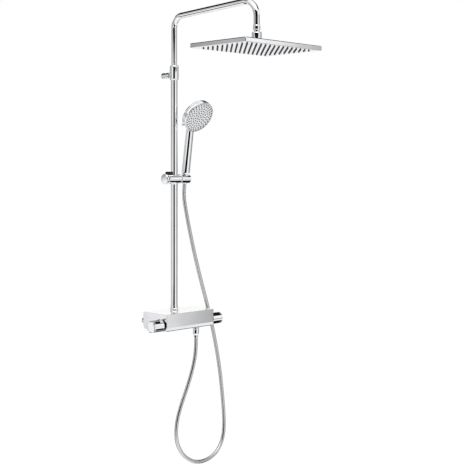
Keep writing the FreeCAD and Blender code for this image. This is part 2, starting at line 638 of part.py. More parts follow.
def build_arm():
    """The bent overhead pipe and the ball joint at its end."""
    back, front = -size("riser_off"), -size("riser_off") - size("arm_reach")
    level = size("arm_level")
    points = [
        Vector(0, back, size("pipe_foot")),
        Vector(0, back, level),
        Vector(0, front, level + size("arm_rise")),
        Vector(0, front, size("pipe_end")),
    ]
    edges = tangent_path(points, [size("rear_bend"), size("front_bend")])
    outer = sweep_disc(edges, size("pipe_out"))
    feature("overhead_pipe", outer.cut(sweep_disc(edges, size("pipe_bore"))))
    riser = ("0", "-(riser_off)", "0")
    foot = "pipe_foot - free_gap / 2"
    guide = fuse(
        drum("Z", riser, f"{foot} - guide_long", foot, "riser_bore - run_gap"),
        drum("Z", riser, foot, f"{foot} + guide_neck", "pipe_bore - run_gap"),
    )
    grooves, seals = [], []
    for low in (4, 11):
        span = (f"{foot} - {low} - 3", f"{foot} - {low}")
        tight = (f"{foot} - {low} - 3 + seat_gap", f"{foot} - {low} - seat_gap")
        core = drum("Z", riser, "0", "arm_level", "branch_out - 2")
        grooves.append(cut(drum("Z", riser, *span, "riser_out"), core))
        seals.append(cut(
            drum("Z", riser, *tight, "riser_bore - run_gap"),
            drum("Z", riser, "0", "arm_level", "branch_out - 2 + seat_gap"),
        ))
    node("foot_guide", cut(guide, drum("Z", riser, "0", "arm_level", "way_bore"), *grooves))
    node("guide_seals", fuse(*seals))
    at = ("0", "-(riser_off) - arm_reach", "0")
    centre = ("0", "-(riser_off) - arm_reach", "ball_level")
    ferrule = drum("Z", at, "pipe_end - seat_gap", "pipe_end + ferrule_high", "ferrule_out")
    node("pipe_ferrule", cut(ferrule, drum("Z", at, "0", "arm_level", "pipe_out + seat_gap / 2")))
    nipple = fuse(
        drum("Z", at, "pipe_end - seat_gap", "pipe_end + 20", "pipe_bore - seat_gap / 2"),
        drum("Z", at, "nipple_end", "pipe_end - seat_gap", "outlet_out"),
    )
    node("pipe_nipple", cut(nipple, drum("Z", at, "0", "arm_level", "nipple_bore")))
    nut = drum("Z", at, "ball_nut_low", "ball_nut_top", "ball_nut_out")
    bore = drum("Z", at, "ball_level", "ball_nut_top + 1", "outlet_out + seat_gap / 2")
    mouth = drum("Z", at, "ball_nut_low - 1", "ball_level", "head_neck_out")
    node("ball_nut", cut(nut, ball(centre, "ring_out + run_gap"), bore, mouth))
    band = drum("Z", at, "ball_level - ring_half", "ball_level + ring_half / 2", "ring_out + 1")
    node("ball_seat_ring", cut(common(ball(centre, "ring_out"), band), ball(centre, "ball_out + run_gap")))
    top = "head_low + head_thick"
    swivel = fuse(
        ball(centre, "ball_out"),
        drum("Z", at, f"{top} + head_base_high", "ball_level", "stem_out"),
        drum("Z", at, top, f"{top} + head_base_high", "head_base_out"),
        drum("Z", at, f"{top} + head_base_high", f"{top} + 2 * head_base_high", "head_neck_out"),
    )
    node("head_swivel", cut(swivel, drum("Z", at, f"{top} - 1", "ball_level + 2 * ball_out", "stem_out / 2")))


def build_head():
    """Rain head: shell, face plate, nozzle mat with its nozzles, and the fixing screws of the base."""
    centre_y = "-(riser_off) - arm_reach"
    half_x, half_y = "head_wide / 2", "head_deep / 2"

    def outline(sketch, inset):
        draw_rectangle(
            sketch,
            (f"-({half_x}) + ({inset})", f"{centre_y} - {half_y} + ({inset})"),
            (f"{half_x} - ({inset})", f"{centre_y} + {half_y} - ({inset})"),
        )

    shell = doc.addObject("PartDesign::Body", "HeadShell")
    block_sketch = sketch_on(shell, "XY_Plane", "head_low")
    outline(block_sketch, "0")
    pad(shell, block_sketch, "head_thick")
    hollow = sketch_on(shell, "XY_Plane", "head_low")
    outline(hollow, "head_wall")
    pocket(shell, hollow, "head_thick - head_wall")
    inlet = sketch_on(shell, "XY_Plane", "head_low")
    draw_circle(inlet, ("0", centre_y), "stem_out / 2")
    pocket(shell, inlet, "head_thick + 1")
    node("head_shell", shell)

    face = doc.addObject("PartDesign::Body", "HeadFace")
    face_sketch = sketch_on(face, "XY_Plane", "head_low")
    outline(face_sketch, "head_wall + seat_gap")
    pad(face, face_sketch, "face_thick")
    count = int(size("nozzle_ribs"))
    for row in range(count):
        offset = f"({row} - {count - 1} / 2) * nozzle_pitch"
        slot = sketch_on(face, "XY_Plane", "head_low")
        draw_rectangle(
            slot,
            (f"{offset} - nozzle_out - seat_gap", f"{centre_y} - {half_y} + nozzle_inset"),
            (f"{offset} + nozzle_out + seat_gap", f"{centre_y} + {half_y} - nozzle_inset"),
        )
        pocket(face, slot, "face_thick")
    node("head_face", face)

    mat = doc.addObject("PartDesign::Body", "NozzleMat")
    mat_sketch = sketch_on(mat, "XY_Plane", "head_low + face_thick")
    outline(mat_sketch, "head_wall + 2 * seat_gap")
    pad(mat, mat_sketch, "mat_thick")
    for row in range(count):
        offset = f"({row} - {count - 1} / 2) * nozzle_pitch"
        rib = sketch_on(mat, "XY_Plane", "head_low")
        draw_rectangle(
            rib,
            (f"{offset} - nozzle_out", f"{centre_y} - {half_y} + nozzle_inset + seat_gap"),
            (f"{offset} + nozzle_out", f"{centre_y} + {half_y} - nozzle_inset - seat_gap"),
        )
        pad(mat, rib, "face_thick + mat_thick")
    node("nozzle_mat", mat)


def build_slider():
    """Slider on the riser, its clamp, and the tilting holder."""
    axis = ("0", "-(riser_off)", "slider_level")
    riser = ("0", "-(riser_off)", "0")
    reach = ("slider_level - 2 * slider_out", "slider_level + 2 * slider_out")
    liner_out = "riser_out + run_gap + liner_wall"
    low, top = "slider_level - sleeve_low", "slider_level + slider_out + 1"
    release_low = ("-(release_far)", "-(riser_off) - release_deep", "slider_level + release_low")
    release_high = ("-(release_near)", "-(riser_off) + release_deep", "slider_level + release_top")
    well_low = tuple(f"{edge} - free_gap" for edge in release_low[:2]) + ("slider_level + release_low - 2.5",)
    well_high = tuple(f"{edge} + free_gap" for edge in release_high[:2]) + (top,)
    node("release_button", block(release_low, release_high))
    body = cut(
        fuse(
            drum("X", axis, "-(slider_left)", "slider_right", "slider_out"),
            drum("Z", riser, low, "slider_level", "sleeve_out"),
        ),
        block(well_low, well_high),
        drum("Z", riser, f"{low} - 1", top, f"{liner_out} + seat_gap"),
        drum("X", axis, "-(slider_left) - 1", "0", "clamp_stud_out + run_gap"),
        drum("-X", axis, "0", "riser_out + pad_thick + 1.5", "pad_out + seat_gap"),
        drum("X", axis, "axle_left - seat_gap", "slider_right + 1", "axle_out + seat_gap / 2"),
    )
    node("slider_body", body)
    liner = cut(
        drum("Z", riser, low, "slider_level + slider_out - 4", liner_out),
        drum("Z", riser, *reach, "riser_out + run_gap"),
        drum("-X", axis, "0", "slider_left", "pad_out + seat_gap"),
    )
    node("slider_liner", liner)
    clamp_face = drum("-X", axis, "riser_out - 2", "riser_out + pad_thick + 1", "pad_out")
    node("clamp_pad", cut(clamp_face, drum("Z", riser, *reach, "riser_out + run_gap")))
    knob = fuse(
        drum("-X", axis, "slider_left + free_gap", "clamp_knob_far", "clamp_knob_out"),
        drum("-X", axis, "riser_out + pad_thick + 1 + seat_gap", "slider_left + 1", "clamp_stud_out"),
    )
    node("clamp_knob", knob)
    washer = drum("X", axis, "slider_right + free_gap / 4", "slider_right + free_gap / 4 + washer_thick",
                  "slider_out - 3")
    node("friction_washer", cut(washer, drum("X", axis, "0", "holder_right", "axle_out + seat_gap / 2")))
    node("holder_axle", drum("X", axis, "axle_left", "axle_right", "axle_out"))

    slope = "(cone_top_out - cone_low_out) / (cone_top - cone_low)"
    half = "1.5 * slider_out"
    seat = drum("Z", ("0", "0", "0"), f"-({half})", half,
                f"cone_low_out + run_gap + (-({half}) - cone_low) * {slope}",
                f"cone_low_out + run_gap + ({half} - cone_low) * {slope}")
    gate = block(
        ("0", "-(hose_out) - 0.6", f"-({half})"),
        ("holder_right", "hose_out + 0.6", half),
    )
    handset_at = ("handset_side", "-(riser_off) - handset_ahead", "slider_level")
    opening = tilt(fuse(seat, gate), handset_at, "handset_lean")
    holder = cut(
        drum("X", axis, "holder_left", "holder_right", "slider_out"),
        drum("X", axis, "0", "axle_right + seat_gap", "axle_out + run_gap"),
        opening,
    )
    node("handset_holder", holder)


def build_handset():
    """Hand shower: cone nut, shell, spray core, face and selector ring."""
    handset_at = ("handset_side", "-(riser_off) - handset_ahead", "slider_level")
    face_at = ("handset_side", "-(riser_off) - face_ahead", "face_level")
    local = ("0", "0", "0")

    cone = cut(
        drum("Z", local, "cone_low", "cone_top", "cone_low_out", "cone_top_out"),
        drum("Z", local, "cone_low - 1", "cone_top", "hose_bore"),
        drum("Z", local, "cone_low + 18", "cone_top + 1", "shank_out + seat_gap / 2"),
    )
    node("cone_nut", tilt(cone, handset_at, "handset_lean"))

    handle = tilt(
        fuse(
            drum("Z", local, "cone_low + 18 + seat_gap", "grip_start", "shank_out"),
            drum("Z", local, "grip_start", "grip_end", "grip_low_out", "grip_top_out"),
        ),
        handset_at,
        "handset_lean",
    )
    front_clear = drum("Z", local, "-4 * rim_deep", "lever_deep + seat_gap", "lever_out + 2")
    back_clear = drum("Z", local, "dome_deep", "4 * rim_deep", "2 * rim_out")
    trims = tilt(fuse(front_clear, back_clear), face_at, "-(face_turn)")
    front_face = "lever_deep + 2 * seat_gap"
    dome = tilt(
        fuse(
            drum("Z", local, front_face, "rim_deep", "rim_out"),
            drum("Z", local, "rim_deep", "dome_deep", "rim_out", "dome_out"),
        ),
        face_at,
        "-(face_turn)",
    )
    dome_hollow = tilt(
        fuse(
            drum("Z", local, "0", "rim_deep", "rim_out - dome_wall"),
            drum("Z", local, "rim_deep", "dome_deep - dome_wall", "rim_out - dome_wall", "dome_out - dome_wall"),
        ),
        face_at,
        "-(face_turn)",
    )
    handle_hollow = tilt(
        fuse(
            drum("Z", local, "cone_low", "grip_start + 1", "hose_bore"),
            drum("Z", local, "grip_start + grip_wall", "grip_end - 20", "grip_low_out - grip_wall"),
        ),
        handset_at,
        "handset_lean",
    )
    shell = cut(fuse(cut(handle, trims), dome), dome_hollow, handle_hollow)
    node("handset_shell", shell)

    core = fuse(
        drum("Z", local, "4 + seat_gap", "lever_deep - 2", "spray_out - 1.5"),
        drum("Z", local, "lever_deep - 2", "dome_deep - dome_wall - seat_gap", "grip_low_out"),
    )
    node("spray_core", tilt(core, face_at, "-(face_turn)"))
    node("spray_face", tilt(drum("Z", local, "0.5", "4", "spray_out"), face_at, "-(face_turn)"))
    tab = block(("lever_in + 1", "-3", "3"), ("lever_reach", "3", "9"))
    tab.Placement = Placement(Vector(), Rotation(Vector(0, 0, 1), 1))
    tab.setExpression("Placement.Rotation.Angle", formula("lever_turn"))
    for letter, factor in (("x", "cos"), ("y", "sin")):
        away = f"(lever_in + 1) * {factor}(lever_turn * 1deg)"
        side = "3 * sin(lever_turn * 1deg)" if letter == "x" else "-3 * cos(lever_turn * 1deg)"
        tab.setExpression(f"Placement.Base.{letter}", formula(f"{away} + {side}"))
    ring = cut(
        fuse(drum("Z", local, "0", "lever_deep", "lever_out"), tab),
        drum("Z", local, "-1", "lever_deep + 1", "lever_in"),
    )
    node("selector_ring", tilt(ring, face_at, "-(face_turn)"))


def build_hose():
    """The shower hose in three lengths, and its nut and washer at the mixer."""
    outlet = ("outlet_side", "-(mixer_off)", "0")
    nut = cut(
        fuse(
            drum("-Z", outlet, "hose_nut_top", "hose_nut_end - 14", "hose_nut_out"),
            drum("-Z", outlet, "hose_nut_end - 14", "hose_nut_end", "hose_nut_out", "hose_out + 1.5"),
        ),
        drum("-Z", outlet, "0", "hose_nut_end + 1", "hose_bore"),
        drum("-Z", outlet, "0", "outlet_drop + 3", "outlet_out + seat_gap / 2"),
    )
    node("hose_nut", nut)
    washer = drum("-Z", outlet, "outlet_drop + seat_gap / 2", "outlet_drop + 2.8", "outlet_out - seat_gap")
    node("hose_washer", cut(washer, drum("-Z", outlet, "0", "hose_nut_end", "hose_bore")))

    points = [Vector(*p) for p in HOSE_ROUTE]
    radii = []
    for before, corner, after in zip(points, points[1:], points[2:]):
        shorter = min(corner.distanceToPoint(before), corner.distanceToPoint(after))
        turn = (corner - before).getAngle(after - corner)
        radii.append(0.45 * shorter / math.tan(turn / 2))
    print("hose arc radii:", [round(r) for r in radii])
    edges = tangent_path(points, radii)
    print("hose length:", round(sum(e.Length for e in edges)))
    pieces = []
    rest = list(edges)
    for number, index in enumerate(HOSE_SPLITS):
        at = 2 * index - (0 if number == 0 else 2 * HOSE_SPLITS[0])
        run = rest[at]
        start, end = run.valueAt(run.FirstParameter), run.valueAt(run.LastParameter)
        middle = (start + end) * 0.5
        pieces.append(rest[:at] + [Part.LineSegment(start, middle).toShape()])
        rest = [Part.LineSegment(middle, end).toShape()] + rest[at + 1:]
    pieces.append(rest)
    for label, run in zip(("hose_main", "hose_bend", "hose_top"), pieces):
        feature(label, sweep_disc(run, size("hose_out")))


build_shelf()
build_valve()
build_inlets()
build_knob("-X", -1, "temperature", True)
build_knob("X", 1, "flow", False)
build_riser()
build_arm()
build_head()
build_slider()
build_handset()
build_hose()
doc.recompute()

faults = [o.Name for o in doc.Objects if "Invalid" in o.State or "Error" in o.State]
faults += [label for label, obj in NODES.items() if obj.Shape.isNull() or not obj.Shape.isValid()]
if faults:
    raise ValueError(f"these objects failed: {faults}")
os.makedirs("parts", exist_ok=True)
for label, obj in NODES.items():
    obj.Shape.exportStep(f"parts/{label}.step")
print(len(NODES), "nodes written")
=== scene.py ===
"""Looks of a rainfall shower column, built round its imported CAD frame. Metres, +Z up, front towards -Y."""

import math

import bmesh
import bpy
import numpy as np
from bpy.props import FloatProperty, FloatVectorProperty, IntProperty, PointerProperty
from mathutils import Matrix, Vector


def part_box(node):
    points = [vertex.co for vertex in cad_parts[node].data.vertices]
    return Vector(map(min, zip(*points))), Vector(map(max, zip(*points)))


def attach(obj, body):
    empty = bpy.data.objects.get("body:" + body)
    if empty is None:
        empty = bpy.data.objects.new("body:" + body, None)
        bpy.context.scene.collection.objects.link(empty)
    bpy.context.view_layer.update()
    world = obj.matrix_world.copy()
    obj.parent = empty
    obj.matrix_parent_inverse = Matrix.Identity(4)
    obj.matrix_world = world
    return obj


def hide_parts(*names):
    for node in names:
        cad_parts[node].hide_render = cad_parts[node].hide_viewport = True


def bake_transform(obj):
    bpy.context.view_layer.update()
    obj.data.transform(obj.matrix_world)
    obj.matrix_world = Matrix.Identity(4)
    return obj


bl_info = {
    "name": "Rainfall shower column",
    "version": (1, 0, 0),
    "blender": (4, 5, 0),
    "location": "3D View > Sidebar > Shower",
    "description": "Builds the surfaces, finishes and studio of a rainfall shower column",
    "category": "Add Mesh",
}

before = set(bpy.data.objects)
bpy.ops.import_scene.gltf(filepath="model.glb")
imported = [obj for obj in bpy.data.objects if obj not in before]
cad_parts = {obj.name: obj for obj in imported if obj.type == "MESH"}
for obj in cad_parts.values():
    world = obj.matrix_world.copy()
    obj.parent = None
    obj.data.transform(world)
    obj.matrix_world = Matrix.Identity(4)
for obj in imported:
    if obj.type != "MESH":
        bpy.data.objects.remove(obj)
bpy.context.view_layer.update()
MM = 0.001

# Axes and levels in mm.
RISER_Y, MIXER_Y, HEAD_Y = -58, -118, -458
BAR_Y = -61  # middle of the slider's and holder's bars, a little ahead of the riser
INLET_X = 75
SLIDER_LEVEL, STRUT_LEVEL = 497.3, 863

# The hose's control points in metres: outlet, hanging loop, hand shower.
HOSE_ROUTE = np.array([
    (48.5, -118, -58.2), (48.5, -118, -95), (42, -118, -136), (27, -118, -182), (3, -118, -236),
    (-25, -119, -289), (-44, -119, -342), (-46, -118, -394), (-27, -116, -442), (11, -113, -479),
    (62, -110, -503), (124, -106, -502), (175, -102, -480), (205, -98, -434), (211, -94, -370),
    (206, -90, -288), (197, -86, -197), (184, -82, -117), (167, -77, -35), (146, -73, 44),
    (119, -69, 131), (93, -65, 222), (71, -61, 312), (55, -57, 391), (48, -53.67, 440.93),
    (48, -59.71, 481.33),
]) * MM
HOSE_CUTS = (0.267, 0.3515)  # heights where the hose passes from one moving body to the next


def linear(hex_colour):
    """The linear colour of an sRGB hex value."""
    parts = [int(hex_colour[i:i + 2], 16) / 255 for i in (1, 3, 5)]
    return tuple(p / 12.92 if p <= 0.04045 else ((p + 0.055) / 1.055) ** 2.4 for p in parts)


# ---------------------------------------------------------------- surfaces


def make_piece(name, points, faces, sharp=35.0):
    """A mesh piece: doubles merged, faces turned outwards, edges sharper than the angle kept crisp."""
    mesh = bpy.data.meshes.new(name)
    mesh.from_pydata(np.asarray(points, float).tolist(), [], faces)
    return finish_mesh(name, mesh, sharp)


def finish_mesh(name, mesh, sharp=35.0, flatten=False):
    """Merges doubles, turns faces outwards, joins flat neighbours if asked, and sets sharp edges."""
    work = bmesh.new()
    work.from_mesh(mesh)
    bmesh.ops.remove_doubles(work, verts=work.verts, dist=2e-6)
    if flatten:
        bmesh.ops.dissolve_limit(work, angle_limit=math.radians(0.5), verts=work.verts, edges=work.edges)
    bmesh.ops.recalc_face_normals(work, faces=work.faces)
    work.to_mesh(mesh)
    work.free()
    mesh.shade_smooth()
    mesh.set_sharp_from_angle(angle=math.radians(sharp))
    piece = bpy.data.objects.new(name, mesh)
    bpy.context.scene.collection.objects.link(piece)
    return piece


def weigh_normals(piece):
    """Flat faces keep their own normals, so mirror finishes stay true beside small roundings."""
    weighted = piece.modifiers.new("Flat faces", "WEIGHTED_NORMAL")
    weighted.keep_sharp = True
    return piece


def skin(name, grid, wrap=False, ends=True, sharp=35.0):
    """A surface over a grid of rows and columns: columns close on themselves, and rows close
    on themselves if wrapped, or else the first and last row get a flat end."""
    rows, columns = grid.shape[:2]
    index = np.arange(rows * columns).reshape(rows, columns)
    if wrap:
        index = np.vstack([index, index[:1]])
    beside = np.roll(index, -1, axis=1)
    quads = np.stack([index[:-1], beside[:-1], beside[1:], index[1:]], axis=-1).reshape(-1, 4).tolist()
    if ends and not wrap:
        quads += [index[0].tolist()[::-1], index[-1].tolist()]
    return make_piece(name, grid.reshape(-1, 3), quads, sharp)


def rounded_line(points, radius, steps=4, closed=False):
    """A line of (a, b) points in mm whose corners are arcs: each corner is cut back by
    min(its radius, 0.45 of its shorter side) and bridged by a quadratic curve."""
    points = [np.asarray(p, float) for p in points]
    count = len(points)
    radii = np.broadcast_to(radius, count)
    result = []
    share = np.linspace(0, 1, steps + 1)[:, None]
    for i, corner in enumerate(points):
        if not closed and i in (0, count - 1):
            result.append(corner[None])
            continue
        before, after = points[i - 1], points[(i + 1) % count]
        back, ahead = before - corner, after - corner
        lengths = np.linalg.norm(back), np.linalg.norm(ahead)
        cut = min(radii[i], 0.45 * min(lengths))
        start, end = corner + back / lengths[0] * cut, corner + ahead / lengths[1] * cut
        result.append((1 - share) ** 2 * start + 2 * share * (1 - share) * corner + share**2 * end)
    return np.vstack(result)


def frame_of(direction):
    """Two unit vectors across a direction."""
    along = np.asarray(direction, float)
    along = along / np.linalg.norm(along)
    guide = np.array([1.0, 0, 0]) if abs(along[0]) < 0.9 else np.array([0, 1.0, 0])
    across = np.cross(along, guide)
    across /= np.linalg.norm(across)
    return along, across, np.cross(along, across)


def turned(name, origin, direction, profile, radius=0.6, segments=96, wrap=False, deep=1.0):
    """A turned piece: the (radius, height) profile in mm, with rounded corners, goes round the
    axis: point = origin + height * axis + radius * (cos t * u + deep * sin t * v)."""
    line = rounded_line(profile, radius, closed=wrap) * MM
    along, u, v = frame_of(direction)
    turn = np.linspace(0, 2 * math.pi, segments, endpoint=False)
    ring = np.cos(turn)[:, None] * u + deep * np.sin(turn)[:, None] * v
    grid = np.asarray(origin) * MM + line[:, 1, None, None] * along + line[:, 0, None, None] * ring
    return weigh_normals(skin(name, grid, wrap=wrap, ends=False))


def swept(name, path, radii, segments=48, flare=None, sharp=50.0):
    """A round section carried along a path in metres: each ring lies across the path's own
    direction, its axes carried along without twist, and flare widens it sideways."""
    path = np.asarray(path, float)
    ahead = np.gradient(path, axis=0)
    ahead /= np.linalg.norm(ahead, axis=1)[:, None]
    side = transported(ahead)
    up = np.cross(side, ahead)
    turn = np.linspace(0, 2 * math.pi, segments, endpoint=False)
    radii = np.broadcast_to(np.asarray(radii, float), len(path))
    wide = radii if flare is None else radii * flare
    grid = (
        path[:, None]
        + np.cos(turn)[None, :, None] * side[:, None] * wide[:, None, None]
        + np.sin(turn)[None, :, None] * up[:, None] * radii[:, None, None]
    )
    return skin(name, grid, sharp=sharp)


def transported(ahead):
    """A side vector carried along a path without twist."""
    side = np.zeros_like(ahead)
    side[0] = frame_of(ahead[0])[2]
    if abs(side[0] @ [1, 0, 0]) < abs(frame_of(ahead[0])[1] @ [1, 0, 0]):
        side[0] = frame_of(ahead[0])[1]
    for i in range(1, len(ahead)):
        side[i] = side[i - 1] - ahead[i] * (side[i - 1] @ ahead[i])
        side[i] /= np.linalg.norm(side[i])
    return side


def rounded_rectangle(half_a, half_b, corner, steps=6):
    """Corner arcs joined round a rectangle: angle t in each quarter, centred on the inset corner."""
    quarter = np.linspace(0, math.pi / 2, steps + 1)
    corners = [(1, 1, 0), (-1, 1, 1), (-1, -1, 2), (1, -1, 3)]
    corner = np.broadcast_to(corner, 4)
    return np.vstack([
        np.stack([
            sa * (half_a - r) + r * np.cos(quarter + k * math.pi / 2),
            sb * (half_b - r) + r * np.sin(quarter + k * math.pi / 2),
        ], axis=1)
        for (sa, sb, k), r in zip(corners, corner)
    ])


def slab(name, centre, half_a, half_b, height, axes, corner=2.0, edge=1.0, steps=4):
    """A plate in mm: the rounded outline is set in at both faces along a quarter circle."""
    angle = np.linspace(0, math.pi / 2, steps + 1)
    inset = edge * (1 - np.sin(angle))
    level = edge * (1 - np.cos(angle))
    rows = [*zip(inset, level), *zip(inset[::-1], height - level[::-1])]
    a, b, c = np.asarray(axes, float)
    grid = []
    for inward, up in rows:
        corners = np.maximum(np.asarray(corner) - inward, 0.05)
        ring = rounded_rectangle(half_a - inward, half_b - inward, corners)
        grid.append(np.asarray(centre) + ring[:, :1] * a + ring[:, 1:] * b + up * c)
    return weigh_normals(skin(name, np.array(grid) * MM))


def copy_of(node, bevel):
    """A merged copy of a CAD node's mesh, with its hard edges rounded off."""
    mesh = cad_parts[node].data.copy()
    mesh.materials.clear()
    piece = finish_mesh(f"{node}_finished", mesh, 30, flatten=True)
    rounding = piece.modifiers.new("Broken edges", "BEVEL")
    rounding.width = bevel * MM
    rounding.segments = 2
    rounding.limit_method = "ANGLE"
    rounding.angle_limit = math.radians(45)
    return weigh_normals(piece)


def combined(piece, joined=(), removed=()):
    """Joins closed pieces to a piece and cuts others out of it, then keeps the new rims crisp."""
    for operation, tools in (("UNION", joined), ("DIFFERENCE", removed)):
        for tool in tools:
            step = piece.modifiers.new("Shaping", "BOOLEAN")
            step.operation, step.solver, step.object = operation, "EXACT", tool
    mesh = bpy.data.meshes.new_from_object(piece.evaluated_get(bpy.context.evaluated_depsgraph_get()))
    piece.modifiers.clear()
    piece.data = mesh
    for tool in (*joined, *removed):
        bpy.data.objects.remove(tool)
    mesh.shade_smooth()
    mesh.set_sharp_from_angle(angle=math.radians(35))
    return weigh_normals(piece)


# ---------------------------------------------------------------- finishes


def add(tree, kind, settings=None, **inputs):
    """Adds a node: settings are its properties, inputs its sockets, set to a value or linked."""
    node = tree.nodes.new(kind)
    for key, value in (settings or {}).items():
        setattr(node, key, value)
    for key, value in inputs.items():
        socket = node.inputs[int(key[1:]) if key[0] == "i" and key[1:].isdigit() else key.replace("_", " ")]
        if isinstance(value, bpy.types.NodeSocket):
            tree.links.new(value, socket)
        else:
            socket.default_value = value
    return node


def new_material(name):
    material = bpy.data.materials.new(name)
    material.use_nodes = True
    tree = material.node_tree
    tree.nodes.clear()
    return material, tree


def grain(tree, size_mm, detail=3.0):
    """Noise whose grains are about that many millimetres across."""
    where = add(tree, "ShaderNodeTexCoord").outputs["Object"]
    return add(tree, "ShaderNodeTexNoise", Vector=where, Scale=1000 / size_mm, Detail=detail).outputs["Fac"]


def spread(tree, value, low, high):
    """Maps 0.3..0.7 of a noise to a range."""
    return add(
        tree, "ShaderNodeMapRange", i0=value, i1=0.3, i2=0.7, i3=low, i4=high,
    ).outputs[0]


def tone(tree, value, dark, light):
    """Mixes two linear colours by a value."""
    mixed = add(tree, "ShaderNodeMix", {"data_type": "RGBA"}, i0=value)
    mixed.inputs[6].default_value = (*dark, 1)
    mixed.inputs[7].default_value = (*light, 1)
    return mixed.outputs[2]


def close(material, tree, shader):
    add(tree, "ShaderNodeOutputMaterial", Surface=shader.outputs[0])
    return material


def metal(name, dark, light, rough, grain_mm=40.0, bump_mm=0.0, bump_size=1.5):
    """A bare or plated metal: slow colour drift, roughness that varies with handling, fine relief."""
    material, tree = new_material(name)
    drift = grain(tree, grain_mm)
    handling = grain(tree, grain_mm / 5, 4.0)
    inputs = {
        "Base_Color": tone(tree, spread(tree, drift, 0, 1), linear(dark), linear(light)),
        "Metallic": 1.0,
        "Roughness": spread(tree, handling, rough[0], rough[1]),
    }
    if bump_mm:
        relief = grain(tree, bump_size)
        inputs["Normal"] = add(
            tree, "ShaderNodeBump", Strength=0.6, Distance=bump_mm * MM, Height=relief,
        ).outputs[0]
    return close(material, tree, add(tree, "ShaderNodeBsdfPrincipled", **inputs))


def moulded(name, dark, light, rough, grain_mm=6.0, bump_mm=0.02, coat=0.0, ior=1.5):
    """A moulded plastic, rubber or glass: even colour with a faint mottle and a fine skin."""
    material, tree = new_material(name)
    mottle = grain(tree, grain_mm)
    skin_noise = grain(tree, 0.8, 2.0)
    relief = add(tree, "ShaderNodeBump", Strength=0.4, Distance=bump_mm * MM, Height=skin_noise)
    return close(material, tree, add(
        tree, "ShaderNodeBsdfPrincipled",
        Base_Color=tone(tree, spread(tree, mottle, 0, 1), linear(dark), linear(light)),
        Roughness=spread(tree, mottle, rough[0], rough[1]),
        Coat_Weight=coat, Coat_Roughness=0.03, IOR=ior, Normal=relief.outputs[0],
    ))


def hose_steel(name):
    """Interlocked stainless strip wound into a hose: a soft metal, with painted shade that darkens it down in
    each groove.
    """
    material, tree = new_material(name)
    # painted groove shade: the groove attribute mixes the colour down towards #a5a7aa in each groove and up
    # to #e8e9eb on the crests
    groove = add(tree, "ShaderNodeAttribute", {"attribute_name": "groove"}).outputs["Fac"]
    handling = grain(tree, 12.0)
    return close(material, tree, add(
        tree, "ShaderNodeBsdfPrincipled",
        Base_Color=tone(tree, groove, linear("#a5a7aa"), linear("#e8e9eb")),
        Metallic=1.0,
        Roughness=spread(tree, handling, 0.16, 0.24),
    ))


def make_finishes():
    return {
        # nickel and chrome on brass, buffed: a clear mirror with faint wiping haze
        "chrome": metal("polished_chrome_plate", "#f0f1f3", "#f7f8f9", (0.035, 0.07)),
        # the same plate on the wide shelf casing, buffed by belt: a softer mirror
        "casing": metal("satin_chrome_casing", "#e6e7ea", "#eeeff1", (0.05, 0.09), 60.0),
        # the same plate on the rain head's pressed underside: a shade duller and cooler
        "plate": metal("pressed_chrome_face", "#d9d9e0", "#e0e0e6", (0.08, 0.14), 50.0),
        # toughened glass, painted on its back: white with a cool sheen and a hard gloss
        "glass": moulded("back_painted_glass", "#f1f2ec", "#f6f7f3", (0.04, 0.07), 30.0, 0.002, 0.6, 1.52),
        # sand cast brass, machined on its faces
        "brass": metal("cast_brass", "#a3843f", "#bf9d55", (0.34, 0.5), 14.0, 0.12, 1.6),
        # stainless steel bar, turned: lines left by the tool
        "steel": metal("turned_stainless_steel", "#a9abad", "#c3c5c7", (0.22, 0.34), 10.0, 0.03, 0.9),
        # nitrile rubber, moulded
        "rubber": moulded("moulded_nitrile_rubber", "#161616", "#1f1f20", (0.55, 0.7), 5.0, 0.04),
        # silicone nozzles, moulded: dark, slightly soft gloss
        "silicone": moulded("moulded_silicone", "#26282b", "#34373a", (0.42, 0.55), 3.0, 0.01),
        # acetal, moulded: black with a low sheen
        "acetal": moulded("moulded_black_acetal", "#0b0b0c", "#121213", (0.24, 0.34), 5.0, 0.01),
        # ABS, moulded in light grey: the spray face
        "abs": moulded("moulded_grey_abs", "#eeeff1", "#f4f5f6", (0.18, 0.26), 8.0, 0.006, 0.2),
        # wound stainless strip, with painted shade in its grooves
        "hose": hose_steel("wound_stainless_strip_painted_groove_shade"),
    }


FINISHES = {}


def finish_piece(piece, body, finish, *nodes):
    """Gives a piece its finish, its body and the CAD nodes it stands for."""
    piece.data.materials.clear()
    piece.data.materials.append(FINISHES[finish])
    if body:
        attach(piece, body)
    if nodes:
        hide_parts(*nodes)


def extent(node):
    """A node's lowest and highest corner in mm."""
    low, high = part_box(node)
    return np.array(low) / MM, np.array(high) / MM


# ---------------------------------------------------------------- settings


class ColumnSettings(bpy.types.PropertyGroup):
    spiral_pitch: FloatProperty(
        name="Hose pitch", description="Distance between two turns of the hose's wound strip",
        default=3.2 * MM, unit="LENGTH",
    )
    nozzle_columns: IntProperty(
        name="Nozzle columns", description="Rain nozzles from left to right", default=15,
    )
    nozzle_rows: IntProperty(
        name="Nozzle rows", description="Rain nozzles from front to back", default=10,
    )
    nozzle_long: FloatProperty(
        name="Nozzle length", description="How far a rain nozzle stands out", default=3.6 * MM, unit="LENGTH",
    )


class StudioSettings(bpy.types.PropertyGroup):
    floor_colour: FloatVectorProperty(
        name="Floor", description="Colour of the studio floor", subtype="COLOR", default=linear("#f4f4f4"),
    )
    floor_level: FloatProperty(
        name="Floor level", description="Height of the studio floor", default=-1.0, unit="LENGTH",
    )
    daylight: FloatProperty(
        name="Daylight", description="Strength of the even light round the object", default=0.92,
    )


# ---------------------------------------------------------------- studio


def ramp(tree, value, stops):
    """A grey ramp through (position, level) stops."""
    node = add(tree, "ShaderNodeValToRGB", Fac=value)
    elements = node.color_ramp.elements
    for element, (position, level) in zip(list(elements), (stops[0], stops[-1])):
        element.position = position
        element.color = (level, level, level, 1)
    for position, level in stops[1:-1]:
        elements.new(position).color = (level, level, level, 1)
    return node.outputs[0]


